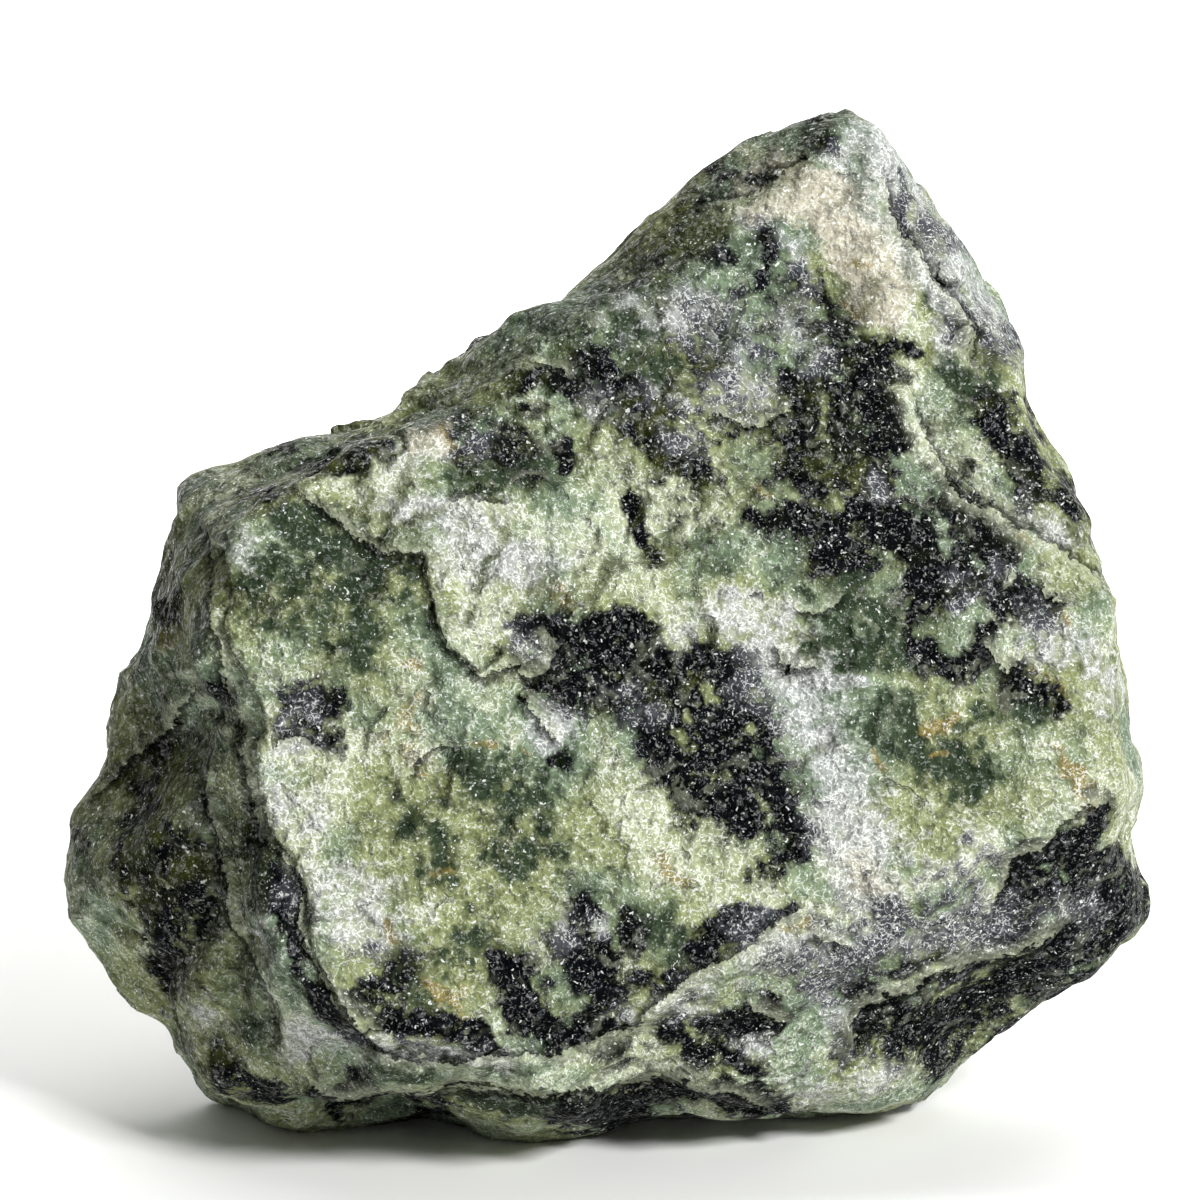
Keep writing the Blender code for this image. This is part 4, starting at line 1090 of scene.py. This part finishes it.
def jade_rock():
    """Jade rock: green nephrite with black amphibole and pale quartz-like veils, broken and never polished.
    The eye sees a sugary grain of white threads and dots under a millimetre, clouded colours, and jagged
    flake edges with a pale rim above, bruised crystal with a painted highlight, and a painted shadow below.
    Patterns are laid out in real millimetres."""
    material = bpy.data.materials.new("broken_nephrite_jade_rock")
    material.use_nodes = True
    tree = material.node_tree
    tree.nodes.clear()
    place = node(tree, "TexCoord", {}, "Object")
    noise = rock_noises(tree, place)
    numbers, middle_far = rock_crystals(tree, place, noise)
    names = (*MINERALS, "edge_side", "edge_count", "weathered_and_shaded", "hollow", "crevice")
    field = {name: node(tree, "Attribute", {}, "Fac", attribute_name=name) for name in names}
    clump, grain, sugar, hollow = noise["clump"], noise["grain"], noise["sugar"], field["hollow"]

    # Painted shade with weathering: 1 where the skin is lit and unweathered, less on the weathered sides.
    lit_and_unweathered = node(tree, "Math", (field["weathered_and_shaded"], -0.75, 1.0), operation="MULTIPLY_ADD")
    patch = rock_patches(tree, noise, field, lit_and_unweathered)
    paleness = weighted_sum(tree, (noise["cloud"], 1.4, 0.12), (noise["tone"], 1.1, 0.5), (clump, 0.6, 0.5),
                            (grain, 0.25, 0.5), (patch["lime"], 0.34, 0.0), (patch["deep"], -0.6, 0.0))
    rock = ground_colour(tree, noise, patch, field["weathered_and_shaded"], paleness)
    # The rims are partly painted highlight and the shadows are painted shadow, while the drops make real
    # bumps.
    rim, shadow, drop = flake_edges(tree, noise, field)

    # Ridges are paler as bruised crystal, rims are paler as bruised crystal with a painted highlight,
    # and hollows and crevices are darkened as painted shade.
    half_rim_highlight = node(tree, "Math", (rim, 0.5), operation="MULTIPLY")
    ridge = node(tree, "MapRange", (hollow, -0.1, -0.5, 0.0, 0.4), **SMOOTHLY)
    bruise_and_highlight = node(tree, "Math", (ridge, half_rim_highlight), operation="MAXIMUM")
    bruise_and_highlight = node(tree, "Math", (bruise_and_highlight, lit_and_unweathered), operation="MULTIPLY")
    # Painted shade: hollows, and more deeply the crevices, are darkened.
    painted_hollow_shade = node(tree, "MapRange", (hollow, 0.08, 0.5, 0.0, 0.8), **SMOOTHLY)
    painted_crevice_shade = node(tree, "MapRange", (field["crevice"], 0.1, 1.2, 0.0, 0.75), **SMOOTHLY)
    painted_hollow_shade = node(tree, "Math", (painted_hollow_shade, painted_crevice_shade), operation="MAXIMUM")
    rock = layered(tree, rock, (bruise_and_highlight, 1.0, linear(BRUISE_AND_HIGHLIGHT)), (painted_hollow_shade, 1.0, linear(HOLLOW_SHADE)))

    # Each crystal is a little lighter or darker, and white grain, with the painted glints of its dots, and
    # the painted shadows of edges lie over it all.
    shade = weighted_sum(tree, (sugar, 0.9, -0.6), (numbers["Blue"], 0.2, 0.5))
    rock = node(tree, "VectorMath", {0: rock, "Scale": shade}, operation="SCALE")
    white = white_grain(tree, noise, numbers, middle_far, patch, paleness, lit_and_unweathered)
    rock = layered(tree, rock, (white, 1.0, linear(CRYSTAL_WHITE)), (shadow, 0.8, linear(EDGE_SHADOW)))

    # Heights in millimetres: the edges, clumps, grain and sugar.
    tall = weighted_sum(tree, (drop, -0.9, 0.0), (clump, 3.6, 0.5), (grain, 1.8, 0.5), (sugar, 0.35, 0.5))
    relief = node(tree, "Bump", {"Height": tall, "Strength": 0.9, "Distance": MM})

    # A few crystals are broken flat and glint, and more of them do on the weathered sides.
    roughness = node(tree, "Math", (numbers["Red"], 0.4, 0.25), operation="MULTIPLY_ADD")
    glossy = node(tree, "Math", (field["weathered_and_shaded"], 0.12, numbers["Blue"]), operation="MULTIPLY_ADD")
    glint = node(tree, "MapRange", (glossy, 0.86, 0.92), **SMOOTHLY)
    glint = node(tree, "Math", (glint, 0.5, 0.015), operation="MULTIPLY_ADD")
    surface = node(tree, "BsdfPrincipled", {
        "Base Color": rock, "Roughness": roughness, "Normal": relief,
        "IOR": NEPHRITE_IOR, "Specular IOR Level": glint,
    })
    node(tree, "OutputMaterial", {"Surface": surface})
    return material


def studio_paper():
    """Studio paper: matt white background paper off a wide roll, plain and unmarked. The eye sees an even
    white with no shine."""
    material = bpy.data.materials.new("white_studio_paper")
    material.use_nodes = True
    surface = material.node_tree.nodes["Principled BSDF"]
    surface.inputs["Base Color"].default_value = linear(PAPER_WHITE)
    surface.inputs["Roughness"].default_value = 0.9
    return material


def sweep(collection):
    """The floor and the wall behind as one sheet of paper: flat, then a quarter circle, then upright, as a
    profile along Y carried straight along X."""
    turn = np.linspace(0.0, math.pi / 2.0, PAPER_BEND_POINTS)
    bend_y = PAPER_BACK + PAPER_BEND * np.sin(turn)
    bend_z = PAPER_BEND * (1.0 - np.cos(turn))
    y = np.concatenate([[-PAPER_FRONT], bend_y, [bend_y[-1]]])
    z = np.concatenate([[0.0], bend_z, [PAPER_HEIGHT]])
    x = np.array([-PAPER_HALF_WIDTH, PAPER_HALF_WIDTH])
    grid = np.stack([np.tile(x, len(y)), np.repeat(y, 2), np.repeat(z, 2)], axis=1)
    low = np.arange(len(y) - 1) * 2
    faces = np.stack([low, low + 1, low + 3, low + 2], axis=1)
    mesh = bpy.data.meshes.new("paper_sweep")
    mesh.from_pydata(grid.tolist(), [], faces.tolist())
    mesh.shade_smooth()
    mesh.materials.append(studio_paper())
    paper = bpy.data.objects.new("paper_sweep", mesh)
    collection.objects.link(paper)
    return paper


def soft_light(collection, name, at, towards, size, watts, spread):
    """A square white soft box at a point, facing another, that shines within a spread of degrees."""
    data = bpy.data.lights.new(name, "AREA")
    data.shape = "SQUARE"
    data.size = size
    data.energy = watts
    data.spread = math.radians(spread)
    light = bpy.data.objects.new(name, data)
    light.location = at
    light.rotation_euler = (Vector(towards) - Vector(at)).to_track_quat("-Z", "Y").to_euler()
    collection.objects.link(light)


def white_room():
    """The dim, even white light that comes back from the studio's walls."""
    world = bpy.data.worlds.new("white_room")
    world.use_nodes = True
    background = world.node_tree.nodes["Background"]
    background.inputs["Color"].default_value = linear("#ffffff")
    background.inputs["Strength"].default_value = ROOM_STRENGTH
    bpy.context.scene.world = world


def camera(collection, heart):
    """A long lens square on to the sheet, which frames PICTURE_WIDTH of it."""
    data = bpy.data.cameras.new("camera")
    data.lens = data.sensor_width * CAMERA_DISTANCE / PICTURE_WIDTH
    data.clip_end = 20.0  # well past the paper
    back = Vector((0.0, -math.cos(LEAN), math.sin(LEAN)))
    up = Vector((0.0, math.sin(LEAN), math.cos(LEAN)))
    made = bpy.data.objects.new("camera", data)
    made.location = heart + up * PICTURE_RISE + back * CAMERA_DISTANCE
    made.rotation_euler = (-back).to_track_quat("-Z", "Y").to_euler()
    collection.objects.link(made)
    bpy.context.scene.camera = made


def main():
    """Puts the stone's skin in place of the CAD solid, and sets it on the paper in the studio's light."""
    collection = bpy.data.collections.new("looks")
    bpy.context.scene.collection.children.link(collection)
    stone = skin(collection)
    stone.data.materials.append(jade_rock())
    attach(stone, "root")
    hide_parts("stone")
    sweep(collection)
    heart = Vector((0.0, 0.0, HEART_HEIGHT * MM))
    soft_light(collection, "key", KEY_AT, heart, KEY_SIZE, KEY_WATTS, KEY_SPREAD)
    soft_light(collection, "paper_light", PAPER_LIGHT_AT, PAPER_LIGHT_AIM, PAPER_LIGHT_SIZE,
               PAPER_LIGHT_WATTS, PAPER_LIGHT_SPREAD)
    white_room()
    camera(collection, heart)
    bpy.context.scene.view_settings.view_transform = "Standard"


main()
